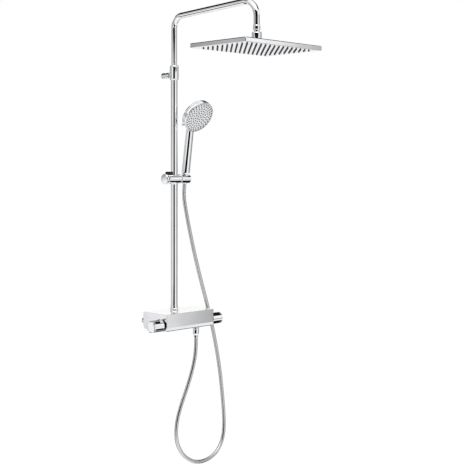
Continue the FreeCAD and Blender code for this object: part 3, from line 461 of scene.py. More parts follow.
def fade(tree, value, start, end):
    """0 up to start, 1 from end on."""
    return add(tree, "ShaderNodeMapRange", {"interpolation_type": "SMOOTHSTEP"},
               i0=value, i1=start, i2=end, i3=0.0, i4=1.0).outputs[0]


def figure(tree, operation, *values):
    """One step of arithmetic."""
    return add(tree, "ShaderNodeMath", {"operation": operation},
               **{f"i{k}": value for k, value in enumerate(values)}).outputs[0]


# What mirrors see round the object: degrees from the studio's front corner, positive to its right,
# with the level of light there; one row below the horizon and one above it.
WALLS_LOW = (
    (-180, 1.0), (-150, 1.0), (-132, 0.6), (-118, 0.5), (-108, 0.8), (-98, 0.7), (-94.9, 0.85),
    (-94.0, 1.0), (-89, 1.0), (-87, 0.3), (-66, 0.3), (-58, 1.0), (62, 1.0), (68, 0.4), (80, 0.45),
    (84, 1.0), (86.4, 0.98), (88.4, 0.56), (89.5, 0.42), (95, 0.2), (97, 0.15), (114, 0.15),
    (122, 0.6), (140, 0.9), (180, 1.0),
)
WALLS_HIGH = (
    (-180, 1.0), (-150, 1.0), (-132, 0.6), (-118, 0.5), (-108, 0.75), (-97, 0.26), (-93, 0.28),
    (-90.3, 0.5), (-86, 0.35), (-70, 0.35), (-58, 0.6), (-50, 1.0), (60, 1.0), (68, 0.45), (82, 0.4),
    (87, 1.0), (92.4, 1.0), (93.6, 0.75), (95, 0.48), (98, 0.16), (114, 0.15), (122, 0.6),
    (140, 0.9), (180, 1.0),
)


def make_world(daylight):
    """White walls with black flags above and below eye level and grey gaps between the soft boxes.
    Direct view shows plain white, mirrors show the walls, and everything else gets even light."""
    world = bpy.data.worlds.new("Studio")
    bpy.context.scene.world = world
    world.use_nodes = True
    tree = world.node_tree
    tree.nodes.clear()
    way = add(tree, "ShaderNodeTexCoord").outputs["Generated"]
    x, y, z = add(tree, "ShaderNodeSeparateXYZ", Vector=way).outputs
    share = figure(tree, "FRACT", figure(
        tree, "MULTIPLY_ADD", figure(tree, "ARCTAN2", y, x), 1 / (2 * math.pi), 135.1 / 360 + 0.5))
    low, high = (
        ramp(tree, share, [(degrees / 360 + 0.5, level) for degrees, level in row])
        for row in (WALLS_LOW, WALLS_HIGH)
    )
    above = fade(tree, z, -0.04, 0.04)
    walls = add(tree, "ShaderNodeMix", {"data_type": "RGBA"}, i0=above, i6=low, i7=high)
    steep = fade(tree, figure(tree, "ABSOLUTE", z), 0.20, 0.34)
    plain = add(tree, "ShaderNodeMix", {"data_type": "RGBA"}, i0=steep, i6=walls.outputs[2], i7=(1, 1, 1, 1))

    def times(a, b):
        return figure(tree, "MULTIPLY", a, b)

    def without(a, b):
        return times(a, figure(tree, "SUBTRACT", 1.0, b))

    # a black strip behind the camera: wide below the horizon, narrow at it, widest high up
    down = fade(tree, z, -0.18, -0.10)
    up = fade(tree, z, 0.10, 0.13)

    def strip_edge(start, above_floor, by_ceiling):
        moved = figure(tree, "MULTIPLY_ADD", down, above_floor / 360, start / 360 + 0.5)
        return figure(tree, "MULTIPLY_ADD", up, by_ceiling / 360, moved)

    sides = [
        fade(tree, share, figure(tree, "SUBTRACT", edge, 0.008), figure(tree, "ADD", edge, 0.008))
        for edge in (strip_edge(-55, 31, -24), strip_edge(23, 1, 14))
    ]
    strip = times(without(without(*sides), fade(tree, z, 0.55, 0.8)), fade(tree, z, -0.41, -0.33))
    away = figure(tree, "ADD", times(x, 0.708), times(y, 0.706))
    # on the right the upper flag hangs lower the further away it is; on the left its hem is level
    # and it ends before the far corner
    left = fade(tree, figure(tree, "SUBTRACT", y, x), -0.15, 0.1)
    hem = figure(tree, "MAXIMUM", 0.17, figure(tree, "MULTIPLY_ADD", times(away, away), -0.45, 0.56))
    hem = figure(tree, "ADD", without(hem, left), times(left, 0.36))
    upper = without(fade(tree, z, hem, figure(tree, "ADD", hem, 0.03)), fade(tree, z, 0.78, 0.82))
    upper = without(upper, times(left, fade(tree, away, 0.72, 0.82)))
    depth = figure(tree, "MULTIPLY_ADD", left, 0.15, times(z, -1.0))
    lower = without(fade(tree, depth, 0.50, 0.54), fade(tree, depth, 0.74, 0.78))
    lower = without(lower, fade(tree, away, 0.80, 0.88))
    # both flags hang only beyond the object, seen from the camera
    beyond = times(figure(tree, "MAXIMUM", upper, lower), fade(tree, away, -0.15, 0.0))
    flags = figure(tree, "MAXIMUM", beyond, strip)
    studio = add(tree, "ShaderNodeMix", {"data_type": "RGBA"}, i0=flags, i6=plain.outputs[2],
                 i7=(0.006, 0.006, 0.006, 1))
    rays = add(tree, "ShaderNodeLightPath")
    even = add(tree, "ShaderNodeBackground", Color=(1, 1, 1, 1), Strength=daylight)
    mirrored = add(tree, "ShaderNodeBackground", Color=studio.outputs[2], Strength=1.0)
    seen = add(tree, "ShaderNodeBackground", Color=(1, 1, 1, 1), Strength=1.0)
    first = add(tree, "ShaderNodeMixShader", i0=rays.outputs["Is Glossy Ray"], i1=even.outputs[0],
                i2=mirrored.outputs[0])
    both = add(tree, "ShaderNodeMixShader", i0=rays.outputs["Is Camera Ray"], i1=first.outputs[0],
               i2=seen.outputs[0])
    add(tree, "ShaderNodeOutputWorld", Surface=both.outputs[0])


def make_floor(colour, level):
    """A wide pale disc far below the object: white to the eye, and left out of mirrors."""
    turn = np.linspace(0, 2 * math.pi, 96, endpoint=False)
    rim = np.stack([12 * np.cos(turn), 12 * np.sin(turn), np.full(96, level)], axis=1)
    floor = make_piece("studio_floor", rim, [list(range(96))])
    material, tree = new_material("painted_floor")
    paint = add(tree, "ShaderNodeBsdfPrincipled", Roughness=0.6,
                Base_Color=tone(tree, spread(tree, grain(tree, 300.0), 0, 1), colour, linear("#fafafa")))
    glow = add(tree, "ShaderNodeEmission", Color=(1, 1, 1, 1), Strength=1.04)
    clear = add(tree, "ShaderNodeBsdfTransparent")
    rays = add(tree, "ShaderNodeLightPath")
    mixed = add(tree, "ShaderNodeMixShader", i0=0.9, i1=paint.outputs[0], i2=glow.outputs[0])
    first = add(tree, "ShaderNodeMixShader", i0=rays.outputs["Is Camera Ray"], i1=paint.outputs[0],
                i2=mixed.outputs[0])
    shown = add(tree, "ShaderNodeMixShader", i0=rays.outputs["Is Glossy Ray"], i1=first.outputs[0],
                i2=clear.outputs[0])
    floor.data.materials.append(close(material, tree, shown))


class SHOWER_OT_stage(bpy.types.Operator):
    """Camera, even light, soft box and floor"""

    bl_idname = "shower.stage"
    bl_label = "Stage"

    def execute(self, context):
        studio = context.scene.studio_settings
        data = bpy.data.cameras.new("Camera")
        data.lens = 80.6
        data.sensor_width = 36.0
        data.shift_y = -0.138
        camera = bpy.data.objects.new("Camera", data)
        camera.location = (-2.444, -2.782, 0.536)
        camera.rotation_euler = (math.pi / 2, 0, math.atan2(-0.708, 0.706))
        context.scene.collection.objects.link(camera)
        context.scene.camera = camera
        make_world(studio.daylight)
        make_floor(tuple(studio.floor_colour), studio.floor_level)
        light = bpy.data.lights.new("Soft box", "AREA")
        light.shape = "RECTANGLE"
        light.size, light.size_y = 2.5, 1.6
        light.energy = 28
        lamp = bpy.data.objects.new("Soft box", light)
        lamp.location = (-1.2, -1.6, 3.2)
        lamp.rotation_euler = (Vector((0, -0.2, 0.4)) - lamp.location).to_track_quat("-Z", "Y").to_euler()
        context.scene.collection.objects.link(lamp)
        context.scene.view_settings.view_transform = "Standard"
        return {"FINISHED"}


# ---------------------------------------------------------------- hose


def hose_line():
    """The points of the route's own NURBS curve, read from its mesh."""
    curve = bpy.data.curves.new("hose_route", "CURVE")
    curve.dimensions = "3D"
    curve.resolution_u = 24
    spline = curve.splines.new("NURBS")
    spline.points.add(len(HOSE_ROUTE) - 1)
    spline.points.foreach_set("co", np.column_stack([HOSE_ROUTE, np.ones(len(HOSE_ROUTE))]).ravel())
    spline.order_u = 3
    spline.use_endpoint_u = True
    carrier = bpy.data.objects.new("hose_route", curve)
    bpy.context.scene.collection.objects.link(carrier)
    mesh = bpy.data.meshes.new_from_object(carrier)
    line = np.zeros(len(mesh.vertices) * 3)
    mesh.vertices.foreach_get("co", line)
    bpy.data.objects.remove(carrier)
    bpy.data.meshes.remove(mesh)
    return line.reshape(-1, 3)


def evenly(line, step):
    """Points at even steps along a line, by length."""
    gone = np.concatenate([[0], np.cumsum(np.linalg.norm(np.diff(line, axis=0), axis=1))])
    marks = np.linspace(0, gone[-1], max(8, round(gone[-1] / step) + 1))
    return np.stack([np.interp(marks, gone, line[:, k]) for k in range(3)], axis=1), gone[-1], marks


def wound_tube(name, line, pitch, out):
    """A hose of wound strip: radius = out - depth * (1 - cos(2 pi s / pitch)) / 2 at length s."""
    path, length, marks = evenly(line, pitch / 4)
    wave = (1 - np.cos(2 * math.pi * marks / pitch)) / 2
    piece = swept(name, path, out - 0.25 * MM * wave, segments=20, sharp=80)
    # painted shade for the hose material: 1 on the crests, falling to 0.25 down in each groove
    groove = piece.data.attributes.new("groove", "FLOAT", "POINT")
    groove.data.foreach_set("value", np.repeat(1 - 0.75 * wave, 20).astype(np.float32))
    return piece, path, length


class SHOWER_OT_hose(bpy.types.Operator):
    """The shower hose in three lengths, cut at the heights where it passes from one moving body to the next
    """

    bl_idname = "shower.hose"
    bl_label = "Hose"

    def execute(self, context):
        pitch = context.scene.column_settings.spiral_pitch
        line = hose_line()
        rising = np.arange(len(line)) > len(line) * 0.7
        first = int(np.argmax(rising & (line[:, 2] > HOSE_CUTS[0])))
        second = int(np.argmax(rising & (line[:, 2] > HOSE_CUTS[1])))
        spans = (
            ("shower_hose", line[:first + 1], "hose_main", "root", "slider", -0.0582, HOSE_CUTS[0]),
            ("shower_hose_bend", line[first:second + 1], "hose_bend", "slider", "handset_holder", *HOSE_CUTS),
            ("shower_hose_top", line[second:], "hose_top", "handset_holder", "handset", HOSE_CUTS[1], 0.4813),
        )
        for name, part, node, below, above, low, high in spans:
            piece, path, length = wound_tube(name, part, pitch, 6.95 * MM)
            finish_piece(piece, None, "hose", node)
            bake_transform(piece)
        low, high = extent("hose_nut")
        at = (*((low + high) / 2)[:2], high[2])
        nut = turned("hose_nut_turned", at, (0, 0, -1), [
            (5.6, 0), (10.6, 0), (11.5, 1.2), (11.5, 6), (11.0, 6.6), (11.0, 7.6), (11.5, 8.2), (11.5, 21.5),
            (10.9, 23.5), (9.2, 25.5), (8.7, 28), (8.5, 36), (5.6, 36),
        ], 0.5, wrap=True)
        finish_piece(nut, "root", "chrome", "hose_nut")
        return {"FINISHED"}


# ---------------------------------------------------------------- mixer


LEAN, FOLD = 1.7, 13.0  # mm that the casing's front turns in, and the height where it starts


def casing_section():
    """The casing's bent sheet, seen from its end: (y, z) in mm, outside then inside. The front
    turns in by LEAN below a fine groove and ends in a bend of radius 4."""
    low, high = extent("shelf_casing")
    front, back, base, top, sheet = low[1], high[1], low[2], high[2], 2.5
    turn = np.radians(np.linspace(-90, -170, 9))
    rim = np.stack([np.cos(turn), np.sin(turn)], axis=1)
    centre = np.array([front + LEAN + 4, base + 4])
    inner = centre + 1.5 * rim[::-1]
    fold = base + FOLD
    groove = [
        (front + 0.1, fold - 0.5), (front + 0.9, fold - 0.4), (front + 0.9, fold + 0.4), (front, fold + 0.5),
    ]
    lip = rounded_line([
        (front, base + 30), (front, top), (front + sheet, top), (front + sheet, top - 4),
    ], 0.9)
    return np.vstack([
        [(back - 8, base)], centre + 4 * rim, groove, lip,
        [(back, top - 4), (back, top - 6.5), (front + sheet, top - 6.5), (front + sheet, fold)],
        inner, [(back - 8, base + sheet)],
    ])


class SHOWER_OT_mixer(bpy.types.Operator):
    """Shelf mixer: casing, end caps, glass shelf and the fittings at the wall"""

    bl_idname = "shower.mixer"
    bl_label = "Mixer"

    def execute(self, context):
        low, high = extent("shelf_casing")
        section = casing_section()
        across = np.array([low[0], high[0]])
        grid = np.stack([
            np.column_stack([np.full(len(section), x), section]) for x in across
        ]) * MM
        casing = weigh_normals(skin("casing_sheet", grid, sharp=30))
        finish_piece(casing, "root", "casing", "shelf_casing")
        low, high = extent("shelf_tray")
        size = high - low
        tray = slab("shelf_glass", ((low[0] + high[0]) / 2, (low[1] + high[1]) / 2, low[2]), size[0] / 2,
                    size[1] / 2, size[2], np.eye(3), 1.2, 0.5)
        finish_piece(tray, "root", "glass", "shelf_tray")
        for side, node in ((-1, "end_cap_left"), (1, "end_cap_right")):
            finish_piece(end_cap(side, node), "root", "casing", node)
        for node, bevel in (("union_nuts", 0.8), ("wall_unions", 0.3)):
            finish_piece(copy_of(node, bevel), "root", "chrome", node)
        for side, end in ((-1, "left"), (1, "right")):
            sleeve = turned(f"wall_sleeve_{end}", (side * INLET_X, 0, 0), (0, -1, 0), [
                (12.3, 0), (14.8, 0), (14.8, 9.5), (13.8, 12), (12.3, 12),
            ], 1.0, wrap=True)
            finish_piece(sleeve, "root", "chrome", *(["wall_sleeves"] if side < 0 else []))
        return {"FINISHED"}


def end_cap(side, node):
    """An end cap: its outline shrinks to the round hole for the valve, on both faces."""
    low, high = extent(node)
    inner, outer = (high[0], low[0]) if side < 0 else (low[0], high[0])
    centre_y, centre_z = (low[1] + high[1]) / 2, (low[2] + high[2]) / 2
    half_y, half_z = (high[1] - low[1]) / 2, (high[2] - low[2]) / 2

    outline = rounded_line([
        (low[1], high[2]), (high[1], high[2]), (high[1], low[2]), (low[1] + LEAN, low[2]),
        (low[1], low[2] + FOLD),
    ], (1.2, 1.2, 14, 4, 1), 8, closed=True)
    middle, half = np.array([centre_y, centre_z]), np.array([half_y, half_z])

    def ring(inset, x):
        return np.column_stack([np.full(len(outline), x), middle + (outline - middle) * (1 - inset / half)])

    turn = np.unwrap(np.arctan2(outline[:, 1], outline[:, 0] - MIXER_Y))
    hole = np.column_stack([np.zeros(len(turn)), MIXER_Y + 17.2 * np.cos(turn), 17.2 * np.sin(turn)])
    step = -side
    rows = [
        hole + [outer, 0, 0], ring(0.8, outer), ring(0.25, outer + 0.25 * step),
        ring(0, outer + 0.8 * step), ring(0, inner), hole + [inner, 0, 0],
    ]
    return weigh_normals(skin(f"{node}_pressed", np.array(rows) * MM, wrap=True, sharp=30))


class SHOWER_OT_knobs(bpy.types.Operator):
    """Temperature and flow knobs, their caps, and the safety button"""

    bl_idname = "shower.knobs"
    bl_label = "Knobs"

    def execute(self, context):
        for side, prefix in ((-1, "temperature"), (1, "flow")):
            body = f"{prefix}_control"
            low, high = extent(f"{prefix}_knob")
            near = high[0] if side < 0 else low[0]
            at = (near, MIXER_Y, 0)
            long = high[0] - low[0]
            knob = turned(f"{prefix}_knob_turned", at, (side, 0, 0), [
                (17.8, 4.2), (19.6, 4.2), (20.5, 5.2), (20.5, 43.5), (20.2, 44.1), (20.2, 45.0), (20.5, 45.6),
                (20.5, long - 0.8), (19.4, long), (18.6, long), (18.6, long - 2.4), (8, long - 5.1),
                (17.8, long - 5.1),
            ], 0.5, segments=128, wrap=True)
            finish_piece(knob, body, "chrome", f"{prefix}_knob")
            # a black acetal ring between the end cap and the knob, which starts 4.2 mm out
            seat = turned(f"{prefix}_knob_black_ring", at, (side, 0, 0), [
                (17.2, 0.2), (19.4, 0.2), (19.4, 4.0), (17.2, 4.0),
            ], 0.4, wrap=True)
            finish_piece(seat, body, "acetal")
            cap = turned(f"{prefix}_cap_turned", (near + side * (long - 2.4), MIXER_Y, 0), (side, 0, 0), [
                (0, 0), (18.35, 0), (18.35, 1.9), (17.6, 2.3), (0, 2.4),
            ], 0.3)
            finish_piece(cap, body, "chrome", f"{prefix}_knob_cap")
        low, high = extent("safety_button")
        middle = (low + high) / 2
        button = slab("safety_button_cap", (middle[0], middle[1], low[2]), 4.0, 4.0, high[2] - low[2] - 0.2,
                      np.eye(3), 3.7, 1.2)
        finish_piece(button, "safety_stop", "acetal", "safety_button")
        return {"FINISHED"}


# ---------------------------------------------------------------- riser and arm


class SHOWER_OT_riser(bpy.types.Operator):
    """Riser tube, base nut, bracket collar and wall fixing"""

    bl_idname = "shower.riser"
    bl_label = "Riser"

    def execute(self, context):
        low, high = extent("riser_tube")
        at = (0, RISER_Y, low[2])
        long = high[2] - low[2]
        tube = turned("riser_drawn_tube", at, (0, 0, 1), [
            (11.5, 0), (12.7, 0), (12.7, long), (11.5, long),
        ], 0.3, wrap=True)
        finish_piece(tube, "root", "chrome", "riser_tube")
        nut = turned("riser_base_turned", at, (0, 0, 1), [
            (12.8, 0), (15.0, 0), (15.4, 1.2), (15.4, 4.4), (14.4, 6.2), (13.8, 8.0), (13.6, 14.2),
            (13.2, 15.8), (12.8, 15.8),
        ], 0.5, wrap=True)
        finish_piece(nut, "root", "chrome", "riser_base_nut")
        low, high = extent("bracket_collar")
        long = high[2] - low[2]
        collar = turned("bracket_collar_turned", (0, RISER_Y, low[2]), (0, 0, 1), [
            (12.85, 0.2), (14.2, 0.2), (16.2, 2.4), (17.0, 5.0), (17.0, long - 5.0), (16.2, long - 2.4),
            (13.6, long - 0.2), (11.3, long - 0.2), (11.3, long - 26), (12.85, long - 26),
        ], 1.0, wrap=True)
        finish_piece(collar, "root", "chrome", "bracket_collar")
        strut = turned("bracket_strut_turned", (0, RISER_Y, STRUT_LEVEL), (0, 1, 0), [
            (6.3, 15.0), (14.6, 15.0), (12.2, 17.6), (10.9, 20.5), (10.5, 25), (10.5, 34.5),
            (10.2, 35.0), (10.2, 36.0), (10.5, 36.5), (10.5, 56.0), (6.3, 56.0),
        ], 0.5, wrap=True)
        finish_piece(strut, "root", "chrome")
        stub = turned("wall_stub_turned", (0, 0, STRUT_LEVEL), (0, -1, 0), [
            (2.6, 0), (10.5, 0), (10.5, 1.8), (6.1, 1.8), (6.1, 18), (4.7, 18), (4.7, 13), (2.6, 13),
        ], 0.2, wrap=True)
        finish_piece(stub, "root", "steel", "wall_stub")
        return {"FINISHED"}


def bent_pipe_line():
    """The overhead pipe's centre line in mm: straight runs joined by circular bends."""
    corners = np.array([(RISER_Y, 620), (RISER_Y, 1066.3), (HEAD_Y, 1085.3), (HEAD_Y, 984)], float)
    line = [corners[0]]
    for before, corner, after, radius in zip(corners, corners[1:], corners[2:], (40.0, 55.0)):
        back = (before - corner) / np.linalg.norm(before - corner)
        ahead = (after - corner) / np.linalg.norm(after - corner)
        half = (math.pi - math.acos(back @ ahead)) / 2
        middle = (back + ahead) / np.linalg.norm(back + ahead)
        centre = corner + middle * radius / math.cos(half)
        start = corner + back * radius * math.tan(half)
        spoke = start - centre
        sign = np.sign(spoke[0] * back[1] - spoke[1] * back[0])
        for angle in np.linspace(0, 2 * half, 25) * -sign:
            c, s = math.cos(angle), math.sin(angle)
            line.append(centre + (c * spoke[0] - s * spoke[1], s * spoke[0] + c * spoke[1]))
    line.append(corners[-1])
    line = np.array(line)
    return np.column_stack([np.zeros(len(line)), line]) * MM


class SHOWER_OT_arm(bpy.types.Operator):
    """Overhead pipe, ferrule and ball joint"""

    bl_idname = "shower.arm"
    bl_label = "Arm"

    def execute(self, context):
        line, _, _ = evenly(bent_pipe_line(), 4 * MM)
        pipe = swept("overhead_bent_pipe", line, 11 * MM, segments=64)
        finish_piece(pipe, "overhead_arm", "chrome", "overhead_pipe")
        at = (0, HEAD_Y, 0)
        ferrule = turned("pipe_ferrule_turned", at, (0, 0, 1), [
            (11.1, 984), (12.4, 984), (13, 985.4), (13, 996.5), (12.2, 999.2), (11.1, 999.8),
        ], 0.5, wrap=True)
        finish_piece(ferrule, "overhead_arm", "chrome", "pipe_ferrule")
        nipple = turned("pipe_nipple_turned", at, (0, 0, 1), [
            (6, 971.8), (9.9, 971.8), (9.9, 983.8), (9.5, 1003), (6, 1003),
        ], 0.3, wrap=True)
        finish_piece(nipple, "overhead_arm", "chrome", "pipe_nipple")
        nut = turned("ball_nut_turned", at, (0, 0, 1), [
            (10.2, 977.2), (14.5, 977.2), (17.2, 974.6), (17.8, 972.6), (17.8, 957.5), (16.6, 953.2),
            (13.2, 950.2), (10.2, 950.2), (12.2, 958.0),
        ], 0.8, wrap=True)
        finish_piece(nut, "overhead_arm", "chrome", "ball_nut")
        return {"FINISHED"}


# ---------------------------------------------------------------- rain head


def studs(name, centres, normal, profile, segments=10):
    """Many small turned studs in one mesh: one profile round one axis, repeated at each centre."""
    line = np.asarray(profile, float) * MM
    along, u, v = frame_of(normal)
    turn = np.linspace(0, 2 * math.pi, segments, endpoint=False)
    ring = np.cos(turn)[:, None] * u + np.sin(turn)[:, None] * v
    one = (line[:, 1, None, None] * along + line[:, 0, None, None] * ring).reshape(-1, 3)
    index = np.arange(len(one)).reshape(len(line), segments)
    beside = np.roll(index, -1, axis=1)
    quads = np.stack([index[:-1], beside[:-1], beside[1:], index[1:]], axis=-1).reshape(-1, 4)
    shifts = np.arange(len(centres)) * len(one)
    points = (np.asarray(centres)[:, None] + one[None]).reshape(-1, 3)
    faces = (quads[None] + shifts[:, None, None]).reshape(-1, 4).tolist()
    ends = np.vstack([index[0][::-1], index[-1]])
    faces += (ends[None] + shifts[:, None, None]).reshape(-1, segments).tolist()
    return make_piece(name, points, faces, 40)


class SHOWER_OT_rain_head(bpy.types.Operator):
    """Rain head: shell, face plate, nozzles and swivel"""

    bl_idname = "shower.rain_head"
    bl_label = "Rain head"

    def execute(self, context):
        settings = context.scene.column_settings
        low, high = extent("head_shell")
        half = (high - low) / 2
        middle = (low + high) / 2
        edge = np.linspace(0, math.pi / 2, 9)
        rows = [(2.2, 2.6), (2.2, 0.3), (1.8, 0.0)]
        rows += [(1.2 * (1 - math.sin(t)), 1.2 * (1 - math.cos(t))) for t in edge]
        rows += [(4.2 * (1 - math.cos(t)), 2 * half[2] - 4.2 * (1 - math.sin(t))) for t in edge]
        grid = []
        for inset, up in rows:
            ring = rounded_rectangle(half[0] - inset, half[1] - inset, max(3.0 - inset, 0.8))
            grid.append(np.column_stack([ring + middle[:2], np.full(len(ring), low[2] + up)]))
        shell = weigh_normals(skin("head_pressed_shell", np.array(grid) * MM, sharp=40))
        finish_piece(shell, "rain_head", "chrome", "head_shell")
        face = slab("head_face_plate", (*middle[:2], low[2] + 0.05), half[0] - 2.4, half[1] - 2.4, 2.4,
                    np.eye(3), 1.2, 0.25)
        finish_piece(face, "rain_head", "plate", "head_face")
        columns, rows = settings.nozzle_columns, settings.nozzle_rows
        x = np.linspace(-1, 1, columns) * 20.7 * (columns - 1) / 2 + middle[0]
        y = np.linspace(-half[1] + 27, half[1] - 27, rows) + middle[1]
        centres = np.stack(np.meshgrid(x, y, indexing="ij"), axis=-1).reshape(-1, 2)
        centres = np.column_stack([centres, np.full(len(centres), low[2] + 0.05)]) * MM
        long = settings.nozzle_long / MM
        nozzles = studs("rain_nozzles", centres, (0, 0, -1), [
            (3.4, -0.2), (3.4, 0.35), (2.9, 0.8), (2.3, long - 0.6), (1.9, long), (0.8, long),
            (0.7, long - 0.8),
        ], 12)
        finish_piece(nozzles, "rain_head", "silicone", "nozzle_mat")
        top = high[2]
        swivel = turned("head_swivel_turned", (0, middle[1], 0), (0, 0, 1), [
            (0, top), (24, top), (24, top + 1.4), (22.4, top + 3.6), (12, top + 4.8), (8.4, top + 6.4),
            (8.0, top + 9.0), (5.2, top + 11.0), (4.6, top + 13.4), (8.4, 953.6), (9.9, 957.2), (10.0, 959.0),
            (9.4, 962.4), (7.2, 965.9), (3.2, 968.4), (0, 969),
        ], 0.8)
        finish_piece(swivel, "rain_head", "chrome", "head_swivel")
        return {"FINISHED"}


# ---------------------------------------------------------------- slider and hand shower


class SHOWER_OT_slider(bpy.types.Operator):
    """Slider, clamp knob, release button and holder"""

    bl_idname = "shower.slider"
    bl_label = "Slider"

    def execute(self, context):
        axis, end, start = (0, RISER_Y, SLIDER_LEVEL), 19.7, -38.0

        def bore(way, radius, low, high, at=axis, radius_high=None):
            last = radius if radius_high is None else radius_high
            return turned("cutter", at, way, [(0, low), (radius, low), (last, high), (0, high)], 0.01)

        bar = turned("slider_body_turned", (0, BAR_Y, SLIDER_LEVEL), (1, 0, 0), [
            (0, start), (15.2, start), (16, start + 0.8), (16, end - 0.8), (15.2, end), (0, end),
        ], 0.4, segments=128, deep=1.12)
        sleeve = turned("sleeve", axis, (0, 0, 1), [
            (0, -19.5), (14.1, -19.5), (14.6, -19), (14.6, 0), (0, 0),
        ], 0.2)
        well = slab("well", (-26.25, RISER_Y, SLIDER_LEVEL + 9), 11.2, 8.5, 20, np.eye(3), 2, 0.1)
        body = combined(bar, [sleeve], [
            bore((0, 0, 1), 13.9, -30, 30), bore((-1, 0, 0), 4.1, 10, 40), bore((-1, 0, 0), 5.8, 10, 17),
            bore((1, 0, 0), 5.1, 14.8, 30), well,
        ])
        finish_piece(body, "slider", "chrome", "slider_body")
        holder = turned("handset_holder_turned", (0, BAR_Y, SLIDER_LEVEL), (1, 0, 0), [
            (0, 20.5), (15.2, 20.5), (16, 21.3), (16, 62.6), (14.6, 64), (0, 64),
        ], 0.6, segments=128, deep=1.12)
        across = np.cross(HANDLE_WAY, [1.0, 0, 0])
        gate = slab("gate", HANDLE_FOOT + [20, 0, 0] - 24 * HANDLE_WAY, 20, 7.6, 48,
                    ((1, 0, 0), across, HANDLE_WAY), 0.1, 0.05)
        holder = combined(holder, removed=[
            bore((1, 0, 0), 5.1, 10, 34.2), bore(HANDLE_WAY, 9.3, -24, 24, HANDLE_FOOT, 11.43), gate,
        ])
        finish_piece(holder, "handset_holder", "chrome", "handset_holder")
        low, high = extent("clamp_knob")
        level = (low[2] + high[2]) / 2
        knob = turned("clamp_knob_turned", (0, RISER_Y, level), (-1, 0, 0), [
            (0, 17.2), (3.95, 17.2), (3.95, 38.5), (17.6, 38.5), (18.3, 39.4), (18.3, 45.6),
            (16.9, 47.6), (0, 48.0),
        ], 0.6)
        finish_piece(knob, "slider_clamp", "chrome", "clamp_knob")
        low, high = extent("release_button")
        middle, size = (low + high) / 2, high - low
        button = slab("release_button_cap", (middle[0], middle[1], low[2]), size[0] / 2, size[1] / 2, size[2],
                      np.eye(3), 4.5, 3.0, 8)
        finish_piece(button, "slider_release", "acetal", "release_button")
        return {"FINISHED"}


HANDLE_FOOT = np.array([48, -62.1, SLIDER_LEVEL])
HANDLE_WAY = np.array([0, -math.sin(math.radians(8.5)), math.cos(math.radians(8.5))])
FACE = np.array([48.0, -136.0, 712.0])
FACE_BACK = np.array([0, math.sin(math.radians(56)), math.cos(math.radians(56))])
FACE_UP = np.array([0, -math.cos(math.radians(56)), math.sin(math.radians(56))])


def handle_shape():
    """The handle's line: straight up the grip, then a quadratic curve into the spray head, with
    the radius growing slowly and the section widening where the two meet."""
    straight = HANDLE_FOOT + HANDLE_WAY * np.linspace(17.4, 165, 60)[:, None]
    start, corner = straight[-1], HANDLE_FOOT + HANDLE_WAY * 200
    end = FACE + FACE_BACK * 20 - FACE_UP * 12
    t = np.linspace(0, 1, 30)[1:, None]
    bend = (1 - t) ** 2 * start + 2 * t * (1 - t) * corner + t**2 * end
    path = np.vstack([straight, bend])
    share = np.concatenate([np.linspace(0, 0.7, 60), np.linspace(0.7, 1, 30)[1:]])
    radii = 15.5 - 1.0 * share
    radii[:3] -= [1.2, 0.45, 0.1]
    flare = 1 + 0.5 * np.clip((share - 0.76) / 0.24, 0, 1) ** 2
    radii = radii - 3.5 * np.clip((share - 0.8) / 0.2, 0, 1) ** 2
    return path * MM, radii * MM, flare


class SHOWER_OT_hand_shower(bpy.types.Operator):
    """Hand shower: handle, spray head, face, nozzles, selector ring and cone nut"""

    bl_idname = "shower.hand_shower"
    bl_label = "Hand shower"

    def execute(self, context):
        path, radii, flare = handle_shape()
        handle = weigh_normals(swept("handset_handle", path, radii, segments=64, flare=flare))
        finish_piece(handle, "handset", "chrome", "handset_shell")
        turn = np.linspace(0, 1, 14)[:, None]
        dome = np.column_stack([59.4 * np.cos(turn * 1.12), 17 + 15 * np.sin(turn * math.pi / 2)])
        head = turned("handset_head_shell", FACE, FACE_BACK, np.vstack([
            [(0, 13.0), (57.8, 13.0), (59.4, 13.4)], dome, [(0, 32.2)],
        ]), 0.4, segments=128)
        finish_piece(head, "handset", "chrome")
        ring = turned("selector_ring_turned", FACE, FACE_BACK, [
            (56.1, 0.4), (57.0, 0), (58.6, 0.2), (60, 1.8), (60, 11.4), (59.4, 12.3), (56.1, 12.3),
        ], 0.5, segments=128, wrap=True)
        finish_piece(ring, "spray_selector", "chrome", "selector_ring")
        finish_piece(selector_tab(), "spray_selector", "chrome")
        face = turned("spray_face_moulded", FACE, FACE_BACK, [
            (0, 0.3), (20, 0.4), (46, 0.9), (54.6, 1.6), (55.6, 2.6), (55.6, 4), (0, 4),
        ], 0.6, segments=128)
        finish_piece(face, "handset", "abs", "spray_face")
        finish_piece(spray_nozzles(), "handset", "silicone")
        low, high = -16.0, 15.5
        nut = turned("cone_nut_turned", HANDLE_FOOT, HANDLE_WAY, [
            (5.5, low), (9.2, low), (9.8, low + 1.0), (11.0, high - 0.6), (10.4, high), (8.1, high),
            (8.1, 2), (5.5, 2),
        ], 0.3, wrap=True)
        finish_piece(nut, "handset", "chrome", "cone_nut")
        shank = turned("handset_shank", HANDLE_FOOT, HANDLE_WAY, [
            (5.5, 2.4), (8.0, 2.4), (8.0, 18.6), (5.5, 18.6),
        ], 0.2, wrap=True)
        finish_piece(shank, "handset", "steel")
        return {"FINISHED"}


def selector_tab():
    """The selector's thumb tab: a small rounded bar pointing away from the face's middle."""
    way = math.radians(210)
    out = np.array([1.0, 0, 0]) * math.cos(way) + FACE_UP * math.sin(way)
    side = np.cross(out, FACE_BACK)
    foot = FACE + out * 58.5 + FACE_BACK * 6
    return slab("selector_tab", foot, 3.2, 3.2, 13.4, (side, FACE_BACK, out), 1.6, 1.2)


